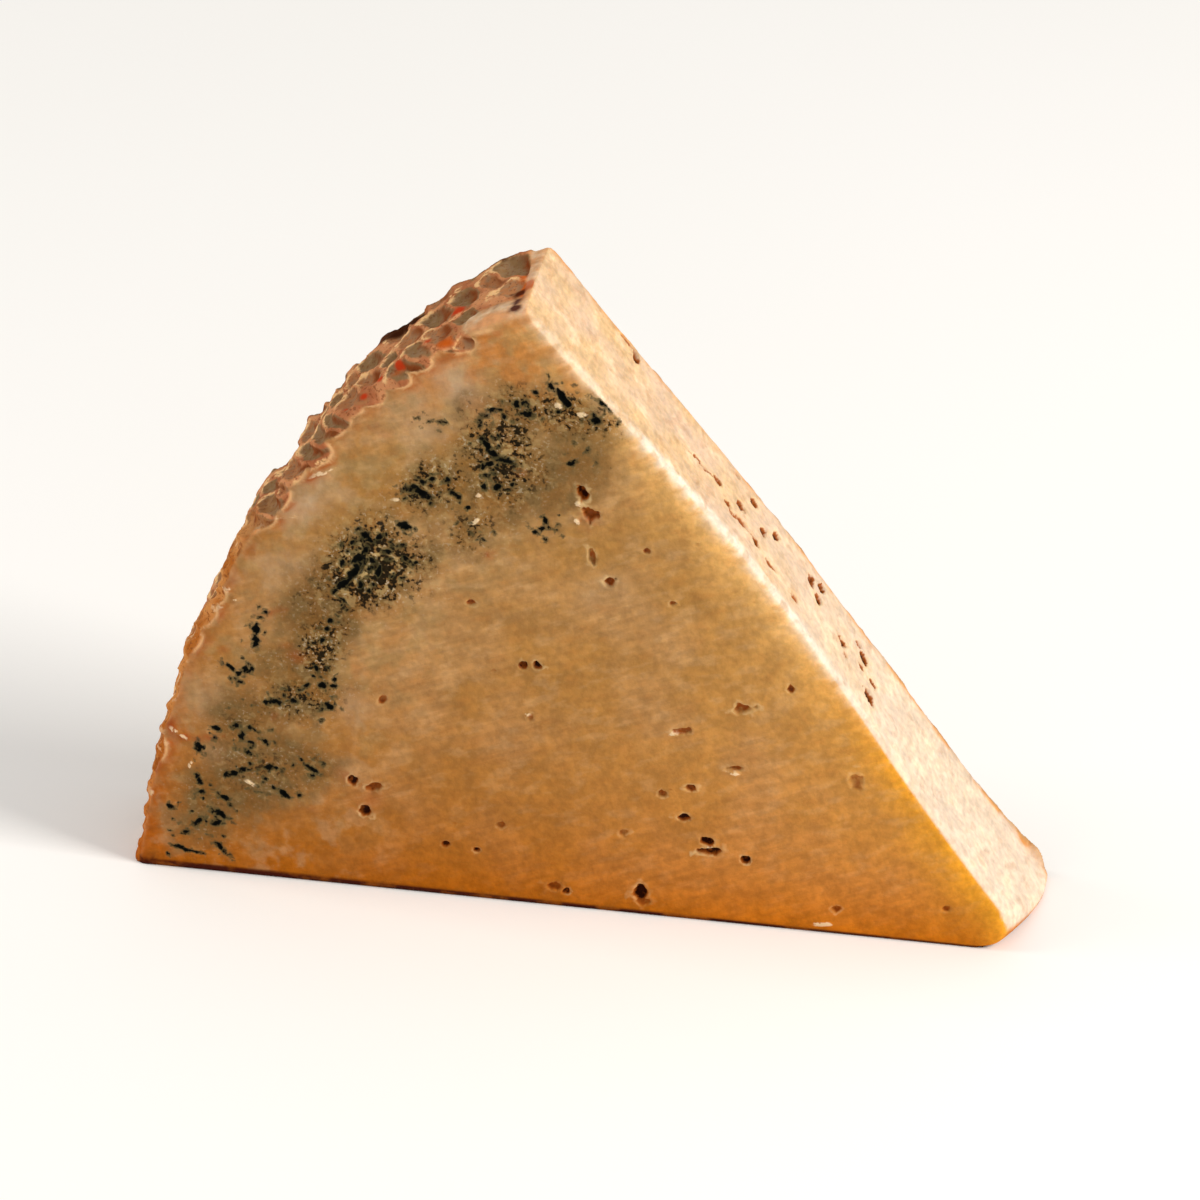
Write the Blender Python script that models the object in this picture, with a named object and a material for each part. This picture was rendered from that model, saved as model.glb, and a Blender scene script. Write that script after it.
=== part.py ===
"""A wedge of cave-ripened blue cheese: a slab cut across a small wheel, standing on its lower radial cut.

Metres, +Z up. The wheel's axis runs along Y. The front cut faces -Y and the wheel's flat rind faces +Y. The tip,
at the wheel's centre, points to +X. The round rind faces -X and up, and the upper radial cut faces +X and up.
The origin is at the middle of the base. Shapes are worked out in the wheel's own coordinates: the distance from
the wheel's axis, the angle above the base and the depth behind the front cut.
"""
import math
import random

import bmesh
import bpy
import numpy as np
from mathutils import Matrix, Vector, noise

# Driving dimensions of the wedge
WHEEL_RADIUS = 0.1276
SLAB_THICKNESS = 0.0203
WEDGE_ANGLE = math.radians(52.3)
WHEEL_AXIS_X = 0.06395
FRONT_Y = -0.0107

# How the wedge departs from a plain sector
RIND_FLATTENING = 0.0066  # the rind draws this much nearer the axis from the base to the upper cut
RIND_FLATTENING_POWER = 0.6
CORNER_FALL = 0.0032  # and falls off by this much more in its last degrees below the upper cut
CORNER_FALL_START = math.radians(40.0)
UPPER_LIFT_FRONT = 0.0033  # the upper cut swells by this at its front edge
UPPER_LIFT_BACK = 0.0013
UPPER_LIFT_RADIUS = 0.068
UPPER_LIFT_SPREAD = 0.036
NOSE_BACK = 0.0010  # the blunt tip begins this far from the axis at the back
NOSE_WEAR = 0.0074  # the worn front corner of the tip begins this much further out
NOSE_WEAR_DEPTH = 0.0160
NOSE_WEAR_POWER = 1.5
NOSE_POINTS = 6
EDGE_RADIUS = 0.0010
FRONT_RIM_DEPTH = 0.0024  # round rim between the front cut and the round rind
FRONT_RIM_INSET = 0.0019
BACK_RIM_RADIUS = 0.0024  # round rim between the round rind and the flat rind

# Hollows across the round rind: angle above the base, half-width along the rind (mm), how deep at the back (mm)
RIND_HOLLOWS = (
    (47.6, 1.6, 0.5),
    (41.2, 2.6, 1.0),
    (33.4, 2.0, 0.9),
    (29.0, 2.8, 2.5),
    (20.0, 4.5, 1.4),
    (13.0, 3.0, 0.7),
)
RIND_HOLLOW_FRONT_SHARE = 0.35  # of their depth at the front cut

# Relief of the rind and of the cuts. The rows of cells are counted across the rind from the front cut, where they
# stand at the slant's upper end. Below it they run slantwise towards the front cut, down to the slant's lower end.
CELL_PITCH = 0.0034
CELL_ROWS = (-0.0008, 0.0046, 0.0120, 0.0204, 0.0285)
CELL_ROW_DEPTHS = (0.0006, 0.0006, 0.0011, 0.0010, 0.0010)
CELL_HALF_WIDTHS = (0.0015, 0.0019, 0.0036, 0.0026, 0.0026)
CELL_ROW_SHARES = (0.55, 0.85, 1.0, 0.9, 0.9)  # how many of a row's cells are there
ROW_SLANT = 0.45
ROW_SLANT_HIGH = 0.100  # length along the rind from the base
ROW_SLANT_LOW = 0.078
CELL_HALF_LENGTH = 0.00140
CELL_JITTER = 0.0006
CELL_SMALLEST = 0.7  # sizes and depths vary between these shares
CELL_LARGEST = 1.2
RIND_WRAP = 0.0026  # the rind reaches this far over the rim, onto the front cut
RIND_WRAP_FADE = 0.0005
RIND_WAVE = 0.0004
RIND_WAVE_LENGTH = 0.009
FLAT_RIND_WAVE = 0.0006
FLAT_RIND_WAVE_LENGTH = 0.013
HUB_SWELL = 0.0012  # the flat rind stands this much prouder round the wheel's axis
HUB_RADIUS = 0.020
CUT_WAVE = 0.0002
CUT_WAVE_LENGTH = 0.016
RELIEF_SEED = 7
RIND_NOISE_OFFSET = 3.1
FLAT_RIND_NOISE_OFFSET = 5.3
CUT_NOISE_OFFSET = 8.7

# Where the relief of a face fades out, as the share of a normal that points its way
FACING_FROM = 0.35
FACING_OVER = 0.40
RIND_INNER_RADIUS = 0.0638
RIND_FADE = 0.020
BASE_FADE = 0.003

# Mesh sizes
VOXEL = 0.0008
OUTLINE_STEP = 0.0020
EDGE_ANGLES = (0, 25, 45, 65, 90)
RIM_ANGLES = (90, 70, 50, 35, 20, 0)
MIDDLE_RINGS = 12
SMOOTHING_ROUNDS = 1
EYE_SUBDIVISIONS = 2
KEPT_SHARE = 0.13  # of the triangles, by the last modifier
BASE_BAND = 0.0004  # points lower than this lie on the base

# Eyes in the front cut: distance from the axis along the base, height, width, height of the eye, depth (mm)
FRONT_EYES_MM = (
    (63.6, 66.4, 2.2, 2.4, 1.4),
    (62.6, 63.3, 2.6, 2.4, 1.5),
    (62.3, 56.8, 1.4, 2.8, 0.9),
    (59.9, 53.2, 1.7, 1.7, 1.1),
    (71.6, 38.6, 1.4, 1.2, 1.0),
    (69.8, 38.9, 1.4, 1.3, 1.0),
    (54.9, 58.6, 1.3, 1.0, 0.6),
    (34.9, 38.9, 1.4, 1.4, 0.7),
    (41.3, 35.2, 2.8, 1.4, 0.9),
    (49.8, 30.7, 2.6, 1.1, 0.8),
    (42.3, 25.5, 2.6, 1.0, 0.7),
    (25.6, 25.2, 2.0, 2.4, 0.8),
    (52.2, 20.2, 1.4, 1.1, 0.7),
    (48.4, 21.7, 1.5, 1.2, 0.8),
    (49.2, 16.8, 2.0, 1.3, 0.9),
    (45.6, 12.1, 3.4, 3.0, 1.3),
    (40.6, 10.9, 1.3, 1.3, 1.3),
    (55.0, 3.4, 2.4, 2.6, 1.2),
    (66.8, 3.0, 2.8, 1.3, 0.8),
    (95.6, 17.4, 1.6, 1.6, 0.9),
    (92.4, 16.8, 2.2, 1.4, 0.9),
    (93.8, 12.8, 2.2, 2.4, 1.1),
    (78.2, 8.2, 1.4, 0.9, 0.6),
    (82.6, 8.6, 1.2, 1.0, 0.6),
)
# Eyes in the upper cut: distance from the axis, depth behind the front cut, length, width, depth of the eye (mm)
UPPER_EYES_MM = (
    (98.6, 16.6, 2.2, 1.8, 1.1),
    (83.7, 11.6, 3.8, 1.1, 0.9),
    (79.4, 10.2, 2.0, 1.7, 1.2),
    (76.9, 8.0, 1.7, 1.7, 1.1),
    (74.5, 11.5, 1.6, 1.6, 1.0),
    (72.6, 15.5, 1.6, 1.4, 0.8),
    (74.3, 6.8, 2.2, 1.4, 0.9),
    (69.4, 12.0, 1.6, 1.6, 0.9),
    (66.9, 14.5, 1.5, 1.5, 0.9),
    (58.8, 14.2, 1.8, 1.8, 1.2),
    (56.6, 16.2, 1.6, 1.6, 1.1),
    (56.5, 12.6, 1.5, 1.5, 1.1),
    (50.6, 10.1, 1.8, 1.6, 1.0),
    (45.8, 13.4, 1.8, 1.9, 1.2),
    (45.8, 10.6, 1.3, 1.3, 0.9),
    (42.9, 6.7, 2.2, 1.7, 1.2),
)
MM = 0.001


def clear_scene():
    for thing in list(bpy.data.objects):
        bpy.data.objects.remove(thing, do_unlink=True)


def place(radius, angle, depth):
    """The point at a distance from the wheel's axis, an angle above the base and a depth behind the front cut."""
    return (WHEEL_AXIS_X - radius * math.cos(angle), FRONT_Y + depth, radius * math.sin(angle))


def smooth_step(value):
    value = np.clip(value, 0.0, 1.0)
    return value * value * (3.0 - 2.0 * value)


def rind_radius(angle):
    """The round rind's distance from the axis, without its relief."""
    turn = np.clip(angle / WEDGE_ANGLE, 0.0, 1.0)
    corner = np.clip((angle - CORNER_FALL_START) / (WEDGE_ANGLE - CORNER_FALL_START), 0.0, 1.0)
    return WHEEL_RADIUS - RIND_FLATTENING * turn ** RIND_FLATTENING_POWER - CORNER_FALL * corner ** 2


def rind_hollow(angle, depth):
    """How deep the hollows across the round rind are at an angle and a depth."""
    share = RIND_HOLLOW_FRONT_SHARE + (1.0 - RIND_HOLLOW_FRONT_SHARE) * depth / SLAB_THICKNESS
    total = 0.0
    for middle, half_width, deep in RIND_HOLLOWS:
        along = WHEEL_RADIUS * (angle - math.radians(middle))
        total += deep * MM * math.exp(-((along / (half_width * MM)) ** 2))
    return total * share


def upper_lift(radius, depth):
    """How far the upper cut swells out of its plane."""
    share = depth / SLAB_THICKNESS
    height = UPPER_LIFT_FRONT + (UPPER_LIFT_BACK - UPPER_LIFT_FRONT) * share
    return height * math.exp(-(((radius - UPPER_LIFT_RADIUS) / UPPER_LIFT_SPREAD) ** 2))


def nose_start(depth):
    """How far from the axis, along both radial cuts, the blunt tip begins."""
    worn = max(0.0, 1.0 - depth / NOSE_WEAR_DEPTH)
    return NOSE_BACK + NOSE_WEAR * worn ** NOSE_WEAR_POWER


def edge_inset(depth):
    """How far the outline draws in near the front and back faces, where the edges are round."""
    near = min(depth, SLAB_THICKNESS - depth)
    if near >= EDGE_RADIUS:
        return 0.0
    return EDGE_RADIUS - math.sqrt(EDGE_RADIUS ** 2 - (EDGE_RADIUS - near) ** 2)


def rim_inset(depth):
    """How much further the round rind draws in near the front cut and near the flat rind."""
    if depth < FRONT_RIM_DEPTH:
        share = 1.0 - depth / FRONT_RIM_DEPTH
        return FRONT_RIM_INSET * (1.0 - math.sqrt(1.0 - share ** 2))
    beyond = depth - (SLAB_THICKNESS - BACK_RIM_RADIUS)
    if beyond <= 0.0:
        return 0.0
    return BACK_RIM_RADIUS - math.sqrt(max(0.0, BACK_RIM_RADIUS ** 2 - beyond ** 2))


def nose_points(start):
    """The blunt tip: an arc that is tangent to both radial cuts, from the upper cut down to the base."""
    half = WEDGE_ANGLE / 2
    middle = start / math.cos(half)
    size = start * math.tan(half)
    points = []
    for k in range(1, NOSE_POINTS):
        angle = WEDGE_ANGLE * (1.0 - k / NOSE_POINTS)
        off = angle - half
        radius = middle * math.cos(off) - math.sqrt(max(0.0, size ** 2 - (middle * math.sin(off)) ** 2))
        points.append((radius, angle))
    return points


def outline(depth):
    """The wedge's outline at a depth, as a ring of points: base, round rind, upper cut and blunt tip."""
    inset = edge_inset(depth)
    rind_inset = inset + rim_inset(depth)
    start = nose_start(depth) + inset
    along = int(WHEEL_RADIUS / OUTLINE_STEP)
    round_rind = int(WHEEL_RADIUS * WEDGE_ANGLE / OUTLINE_STEP)
    low_rim = rind_radius(0.0) - rind_inset - rind_hollow(0.0, depth)
    high_rim = rind_radius(WEDGE_ANGLE) - rind_inset - rind_hollow(WEDGE_ANGLE, depth)
    ring = []
    for k in range(along):
        radius = start + (low_rim - start) * k / along
        ring.append(Vector(place(radius, 0.0, depth)) + Vector((0.0, 0.0, inset)))
    for k in range(round_rind):
        angle = WEDGE_ANGLE * k / round_rind
        radius = rind_radius(angle) - rind_inset - rind_hollow(angle, depth)
        ring.append(Vector(place(radius, angle, depth)))
    outward = Vector((math.sin(WEDGE_ANGLE), 0.0, math.cos(WEDGE_ANGLE)))
    for k in range(along + 1):
        radius = high_rim + (start - high_rim) * k / along
        lift = upper_lift(radius, depth) - inset
        ring.append(Vector(place(radius, WEDGE_ANGLE, depth)) + outward * lift)
    for radius, angle in nose_points(start):
        ring.append(Vector(place(radius, angle, depth)))
    return ring


def ring_depths():
    """Depths of the outlines, close together where the edges are round."""
    front = [FRONT_RIM_DEPTH * (1.0 - math.cos(math.radians(turned))) for turned in EDGE_ANGLES]
    back = [SLAB_THICKNESS - BACK_RIM_RADIUS * (1.0 - math.cos(math.radians(turned))) for turned in RIM_ANGLES]
    middle = np.linspace(front[-1], back[0], MIDDLE_RINGS)[1:-1]
    return front + [float(depth) for depth in middle] + back


def lofted_block():
    """The wedge without relief, as a closed mesh lofted through its outlines."""
    bm = bmesh.new()
    rings = [[bm.verts.new(point) for point in outline(depth)] for depth in ring_depths()]
    for ring, behind in zip(rings, rings[1:]):
        for k in range(len(ring)):
            following = (k + 1) % len(ring)
            bm.faces.new((ring[k], ring[following], behind[following], behind[k]))
    bm.faces.new(list(reversed(rings[0])))
    bm.faces.new(rings[-1])
    bmesh.ops.recalc_face_normals(bm, faces=bm.faces)
    mesh = bpy.data.meshes.new("block")
    bm.to_mesh(mesh)
    bm.free()
    return mesh


def evenly_meshed(mesh):
    """The same form in small even quads, its edges softened."""
    block = bpy.data.objects.new("block", mesh)
    bpy.context.collection.objects.link(block)
    remesh = block.modifiers.new("even", "REMESH")
    remesh.mode = "VOXEL"
    remesh.voxel_size = VOXEL
    evaluated = block.evaluated_get(bpy.context.evaluated_depsgraph_get())
    even = bpy.data.meshes.new_from_object(evaluated)
    bpy.data.objects.remove(block, do_unlink=True)
    bm = bmesh.new()
    bm.from_mesh(even)
    for _ in range(SMOOTHING_ROUNDS):
        bmesh.ops.smooth_vert(bm, verts=bm.verts, factor=0.5, use_axis_x=True, use_axis_y=True, use_axis_z=True)
    bm.to_mesh(even)
    bm.free()
    return even


def cells(along, across):
    """How deep the small cells are that stand in staggered rows round the rind."""
    draw = random.Random(RELIEF_SEED)
    sunk = np.zeros_like(along)
    across = across + ROW_SLANT * (ROW_SLANT_HIGH - np.maximum(along, ROW_SLANT_LOW))
    count = int(WHEEL_RADIUS * WEDGE_ANGLE / CELL_PITCH) + 1
    rows = zip(CELL_ROWS, CELL_ROW_DEPTHS, CELL_HALF_WIDTHS, CELL_ROW_SHARES)
    for row, (row_place, row_sunk, half_width, share) in enumerate(rows):
        for k in range(count):
            middle = (k + 0.5 * (row % 2)) * CELL_PITCH + draw.uniform(-CELL_JITTER, CELL_JITTER)
            level = row_place + draw.uniform(-CELL_JITTER, CELL_JITTER)
            deep = row_sunk * draw.uniform(CELL_SMALLEST, CELL_LARGEST)
            size = draw.uniform(CELL_SMALLEST, CELL_LARGEST)
            if draw.random() > share:
                continue
            far = ((along - middle) / (size * CELL_HALF_LENGTH)) ** 2
            far += ((across - level) / (size * half_width)) ** 2
            sunk = np.maximum(sunk, deep * np.exp(-(far ** 2)))
    return sunk


def waves(points, length, offset):
    """Smooth noise from about -1 to 1 at each point, its swells about one length apart."""
    shift = Vector((offset, 2.0 * offset, 3.0 * offset))
    return np.array([noise.noise(Vector(point) / length + shift) for point in points])


def add_relief(mesh):
    """Moves the mesh's points along their normals: cells and swells on the rind, slight waves on the cuts."""
    count = len(mesh.vertices)
    points = np.empty(count * 3, dtype=np.float32)
    mesh.vertices.foreach_get("co", points)
    points = points.reshape(count, 3).astype(float)
    normals = np.array([vertex.normal[:] for vertex in mesh.vertices])
    inward = WHEEL_AXIS_X - points[:, 0]
    radius = np.hypot(inward, points[:, 2])
    angle = np.arctan2(points[:, 2], inward)
    depth = points[:, 1] - FRONT_Y
    outward = np.stack([-np.cos(angle), np.zeros(count), np.sin(angle)], axis=1)
    facing_out = np.sum(normals * outward, axis=1)
    on_rind = smooth_step((facing_out - FACING_FROM) / FACING_OVER)
    on_rind *= smooth_step((radius - RIND_INNER_RADIUS) / RIND_FADE)
    on_flat_rind = smooth_step((normals[:, 1] - FACING_FROM) / FACING_OVER)
    within_rind = np.maximum(rind_radius(angle) - radius, 0.0)
    on_front = smooth_step((-normals[:, 1] - FACING_FROM) / FACING_OVER)
    on_rind = np.maximum(on_rind, on_front * smooth_step((RIND_WRAP - within_rind) / RIND_WRAP_FADE))
    across = np.where(depth < FRONT_RIM_DEPTH, depth - within_rind, depth)
    on_cut = 1.0 - np.maximum(on_rind, on_flat_rind)
    away_from_base = smooth_step((points[:, 2] - BASE_BAND) / BASE_FADE)
    swell = RIND_WAVE * waves(points, RIND_WAVE_LENGTH, RIND_NOISE_OFFSET)
    move = on_rind * (swell - cells(radius * angle, across))
    hub = HUB_SWELL * np.exp(-((radius / HUB_RADIUS) ** 2))
    swell = FLAT_RIND_WAVE * waves(points, FLAT_RIND_WAVE_LENGTH, FLAT_RIND_NOISE_OFFSET)
    move += on_flat_rind * (hub + swell)
    move += on_cut * CUT_WAVE * waves(points, CUT_WAVE_LENGTH, CUT_NOISE_OFFSET)
    points += normals * (move * away_from_base)[:, None]
    points[points[:, 2] < BASE_BAND, 2] = 0.0
    mesh.vertices.foreach_set("co", points.astype(np.float32).ravel())
    mesh.update()


def eye_matrix(middle, across, up, outward, sizes):
    """Places a unit ball so that its three half-sizes lie across, up and into the face."""
    turn = Matrix((across, up, outward)).transposed().to_4x4()
    scale = Matrix.Diagonal((sizes[0] / 2, sizes[1] / 2, sizes[2], 1.0))
    return Matrix.Translation(middle) @ turn @ scale


def eye_cutter():
    """One mesh of flattened balls, centred on the cut faces, that hollow out the cheese's eyes."""
    bm = bmesh.new()
    front_across = Vector((1.0, 0.0, 0.0))
    front_up = Vector((0.0, 0.0, 1.0))
    for from_axis, height, width, tall, deep in FRONT_EYES_MM:
        middle = Vector((WHEEL_AXIS_X - from_axis * MM, FRONT_Y, height * MM))
        sizes = (width * MM, tall * MM, deep * MM)
        matrix = eye_matrix(middle, front_across, front_up, Vector((0.0, -1.0, 0.0)), sizes)
        bmesh.ops.create_icosphere(bm, subdivisions=EYE_SUBDIVISIONS, radius=1.0, matrix=matrix)
    upper_out = Vector((math.sin(WEDGE_ANGLE), 0.0, math.cos(WEDGE_ANGLE)))
    upper_along = Vector((-math.cos(WEDGE_ANGLE), 0.0, math.sin(WEDGE_ANGLE)))
    for from_axis, depth, long, wide, deep in UPPER_EYES_MM:
        lift = upper_lift(from_axis * MM, depth * MM)
        middle = Vector(place(from_axis * MM, WEDGE_ANGLE, depth * MM)) + upper_out * lift
        sizes = (long * MM, wide * MM, deep * MM)
        matrix = eye_matrix(middle, upper_along, Vector((0.0, 1.0, 0.0)), upper_out, sizes)
        bmesh.ops.create_icosphere(bm, subdivisions=EYE_SUBDIVISIONS, radius=1.0, matrix=matrix)
    bmesh.ops.recalc_face_normals(bm, faces=bm.faces)
    mesh = bpy.data.meshes.new("eye_cutter")
    bm.to_mesh(mesh)
    bm.free()
    cutter = bpy.data.objects.new("eye_cutter", mesh)
    bpy.context.collection.objects.link(cutter)
    cutter.hide_render = True
    cutter.display_type = "WIRE"
    return cutter


def paste_material():
    """Ochre paste of a ripe blue cheese."""
    material = bpy.data.materials.new("cheese_paste")
    material.use_nodes = True
    shader = material.node_tree.nodes["Principled BSDF"]
    shader.inputs["Base Color"].default_value = (0.62, 0.36, 0.12, 1.0)
    shader.inputs["Roughness"].default_value = 0.55
    shader.inputs["Metallic"].default_value = 0.0
    return material


def cheese_wedge():
    mesh = evenly_meshed(lofted_block())
    add_relief(mesh)
    mesh.name = "cheese_wedge"
    mesh.materials.append(paste_material())
    wedge = bpy.data.objects.new("cheese_wedge", mesh)
    bpy.context.collection.objects.link(wedge)
    eyes = wedge.modifiers.new("eyes", "BOOLEAN")
    eyes.operation = "DIFFERENCE"
    eyes.solver = "EXACT"
    eyes.use_self = True
    eyes.object = eye_cutter()
    fewer = wedge.modifiers.new("fewer_faces", "DECIMATE")
    fewer.ratio = KEPT_SHARE
    mesh.shade_smooth()
    return wedge


clear_scene()
cheese_wedge()
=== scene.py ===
"""Looks of a wedge of cave-ripened blue cheese that stands on its lower radial cut.

The wedge is one mesh that replaces the plain solid. Its form follows the same named sizes as the solid and adds
fine relief: the cells of the rind, eyes, mould pockets and pinholes. Masks stored on its points drive one
procedural material. Shapes are worked out in the wheel's own coordinates: the distance from the wheel's axis,
the angle above the base and the depth behind the front cut. Marks on the front cut are placed in millimetres, by
their distance from the axis along the base and their height.
"""
import math
import random

import bmesh
import bpy
import numpy as np
from mathutils import Matrix, Vector, noise


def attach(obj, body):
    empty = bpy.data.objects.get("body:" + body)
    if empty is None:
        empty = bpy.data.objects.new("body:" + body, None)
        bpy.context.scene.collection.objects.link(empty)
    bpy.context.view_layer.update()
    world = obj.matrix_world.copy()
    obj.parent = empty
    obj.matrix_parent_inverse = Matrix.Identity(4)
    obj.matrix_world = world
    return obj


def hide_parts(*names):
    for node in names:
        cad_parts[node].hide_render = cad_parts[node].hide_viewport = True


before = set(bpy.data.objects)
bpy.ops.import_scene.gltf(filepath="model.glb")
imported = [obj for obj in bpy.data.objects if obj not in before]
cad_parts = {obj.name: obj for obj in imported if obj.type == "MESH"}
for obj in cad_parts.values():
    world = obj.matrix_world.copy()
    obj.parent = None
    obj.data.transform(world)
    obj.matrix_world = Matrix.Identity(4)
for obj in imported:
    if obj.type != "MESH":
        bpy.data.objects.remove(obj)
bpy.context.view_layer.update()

MM = 0.001

# Sizes of the solid that this mesh follows
WHEEL_RADIUS = 0.1276
SLAB_THICKNESS = 0.0203
WEDGE_ANGLE = math.radians(52.3)
WHEEL_AXIS_X = 0.06395
FRONT_Y = -0.0107
RIND_FLATTENING = 0.0066
RIND_FLATTENING_POWER = 0.6
CORNER_FALL = 0.0032
CORNER_FALL_START = math.radians(40.0)
UPPER_LIFT_FRONT = 0.0033
UPPER_LIFT_BACK = 0.0013
UPPER_LIFT_RADIUS = 0.068
UPPER_LIFT_SPREAD = 0.036
NOSE_BACK = 0.0010
NOSE_WEAR = 0.0074
NOSE_WEAR_DEPTH = 0.0160
NOSE_WEAR_POWER = 1.5
NOSE_POINTS = 8
EDGE_RADIUS = 0.0010
FRONT_RIM_DEPTH = 0.0024
FRONT_RIM_INSET = 0.0019
BACK_RIM_RADIUS = 0.0024
RIND_HOLLOWS = (
    (47.6, 1.6, 0.5), (41.2, 2.6, 1.0), (33.4, 2.0, 0.9), (29.0, 2.8, 2.5), (20.0, 4.5, 1.4),
    (13.0, 3.0, 0.7),
)
RIND_HOLLOW_FRONT_SHARE = 0.35
CELL_PITCH = 0.0034
CELL_ROWS = (-0.0008, 0.0046, 0.0120, 0.0204, 0.0285)
CELL_ROW_DEPTHS = (0.0006, 0.0006, 0.0011, 0.0010, 0.0010)
CELL_HALF_WIDTHS = (0.0015, 0.0024, 0.0036, 0.0034, 0.0034)
CELL_ROW_SHARES = (0.55, 0.85, 1.0, 0.9, 0.9)
ROW_SLANT = 0.45
ROW_SLANT_HIGH = 0.100
ROW_SLANT_LOW = 0.078
CELL_HALF_LENGTH = 0.00140
CELL_JITTER = 0.0006
CELL_LEAN = 0.45  # how far a cell shifts along the rind for each length behind its middle
CELL_LEAN_START = 0.002
CELL_BEND = 0.0006
CELL_SMALLEST = 0.7
CELL_LARGEST = 1.2
RIDGE_HALF_WIDTH = 0.00038
LOBES_MM = (  # round lobes of the rind's border on the front cut: length along the rind, half-length, reach
    (101.6, 1.5, 0.5), (98.0, 2.2, 1.7), (94.9, 1.3, 0.5), (92.6, 2.0, 1.3), (88.7, 2.1, 1.5),
    (84.9, 2.0, 1.3), (81.6, 1.4, 0.6), (78.3, 2.3, 0.9), (72.6, 2.7, 1.9), (68.2, 2.0, 0.7),
    (64.0, 2.2, 1.0), (59.0, 2.4, 0.6), (46.0, 1.6, 1.0), (42.4, 2.2, 0.7), (37.6, 2.0, 0.7),
    (19.4, 2.4, 0.8),
)
CORNER_BARE_FRONT = 0.0009  # bare paste between the upper cut and the end of the rind
CORNER_BARE_BACK = 0.0026
RED_SPOTS_MM = (  # length along the rind from the base, depth behind the front cut, size, strength
    (98.7, 8.1, 1.36, 1.0), (96.8, 6.3, 1.04, 0.75), (95.4, 3.3, 0.96, 0.6), (90.8, 1.3, 1.36, 1.0),
    (87.3, 1.7, 1.04, 0.75), (84.3, 0.6, 1.36, 0.9), (81.1, 1.4, 1.12, 0.6),
)
SPOT_WIDENING = 0.12  # how much wider a spot is across the rind, for each mm behind the front cut
DARK_SPOTS_MM = (
    (106.5, 6.1, 1.2, 1.0), (106.7, 3.3, 1.2, 0.9), (106.6, 1.9, 1.2, 1.0), (104.2, 3.9, 1.6, 0.35),
    (106.0, 1.2, 1.6, 0.3),
)
ORANGE_SPOTS_MM = (
    (107.2, 7.7, 1.5, 1.0), (106.6, 10.5, 1.6, 0.5), (107.0, 5.0, 1.2, 0.5), (97.5, 0.0, 2.6, 0.6),
    (90.0, 0.6, 2.4, 0.4),
)
RIM_SHADOWS_MM = (  # where a painted shadow makes the back rim near black: length along the rind, half-length, depth it starts at
    (100.5, 3.6, 17.4), (86.8, 4.4, 15.6),
)
RELIEF_SEED = 7
OUTLINE_STEP = 0.0015
BASE_BAND = 0.00025

# Heights of the relief
RIND_LIFT = 0.0003
RIND_WAVE = 0.0004
CRUST_WAVES = (0.00014, 0.00008)
FLAT_RIND_WAVE = 0.0006
FLAT_RIND_FINE_WAVE = 0.00018
HUB_SWELL = 0.0012
HUB_RADIUS = 0.020
CUT_WAVE = 0.0002
CUT_FINE_WAVES = (0.00004, 0.00006)
CRUMB_WAVES = (0.00022, 0.00012)
CREAM_RIDGE_AND_GLINT_HEIGHT = 0.0004
EYE_RIM_HEIGHT = 0.00012
LOW_RIND_RELIEF = 0.6  # share of the cells' depth that is left near the base
NOISES = {  # noise over the mesh's points: the length of its swells, and an offset that sets it apart
    "swell": (0.009, 3.1),
    "flat_swell": (0.013, 5.3),
    "flat_fine": (0.0034, 9.4),
    "cut_swell": (0.016, 8.7),
    "cut_middle": (0.004, 1.3),
    "cut_fine": (0.0012, 7.7),
    "crust": (0.0013, 2.2),
    "crust_fine": (0.0006, 4.2),
    "bend_along": (0.0017, 1.1),
    "bend_across": (0.0021, 5.7),
    "tatter": (0.0030, 4.4),
    "ripple": (0.0012, 6.6),
    "wobble": (0.0013, 1.7),
    "wobble_fine": (0.0006, 8.3),
    "drift": (0.0042, 2.3),
    "drift_fine": (0.0021, 5.1),
    "ragged": (0.0010, 6.1),
    "ragged_fine": (0.0005, 2.9),
    "crumbs": (0.0010, 5.9),
    "crumbs_fine": (0.0005, 3.9),
}

# Where faces and masks set in: a value at which each starts or ends, and how much further on it is whole or gone
RIND_FACING = (0.35, 0.4)
CUT_FACING = (0.45, 0.35)
RIND_RADII = (0.5 * WHEEL_RADIUS, 0.02)
ABOVE_BASE = (BASE_BAND, 0.003)
FRONT_RIM_DEPTHS = (1.5 * FRONT_RIM_DEPTH, FRONT_RIM_DEPTH)
HIGH_ANGLES = (math.radians(24.0), math.radians(6.0))
BEHIND_LOW_RIM = (0.0035, 0.003)
WRAPPED_WITHIN = (0.0001, 0.0003)
LOBED_FROM = (0.0002, 0.0003)
UPPER_BEYOND_RIND = (0.2, 0.4)
BARE_LENGTHS = (0.0995, 0.0015)
BARE_DEPTHS = (0.0050, 0.001)
CORNER_EASE = 0.0006
BETWEEN_CELLS = (1.15, 0.4)
# painted shade on one side of each cell's hollow: the sides and the reach where it sets in
SHADED_HOLLOW_SIDES = (-0.1, 0.8)
SHADED_HOLLOW_REACH = (1.35, 0.4)
# painted highlight on the lit arc of each cell's ridge: where it sets in behind and beside the cell's middle
HIGHLIGHT_ARC_BEHIND = (0.25, 0.5)
HIGHLIGHT_ARC_SIDES = (0.9, 0.6)
# painted shadow along the back rim: how it eases in behind its start, and how rough its edge is
RIM_SHADOW_EASE = 0.0009
RIM_SHADOW_ROUGHNESS = 0.4
EDGE_DEPTHS = (0.0022, 0.0014)
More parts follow.
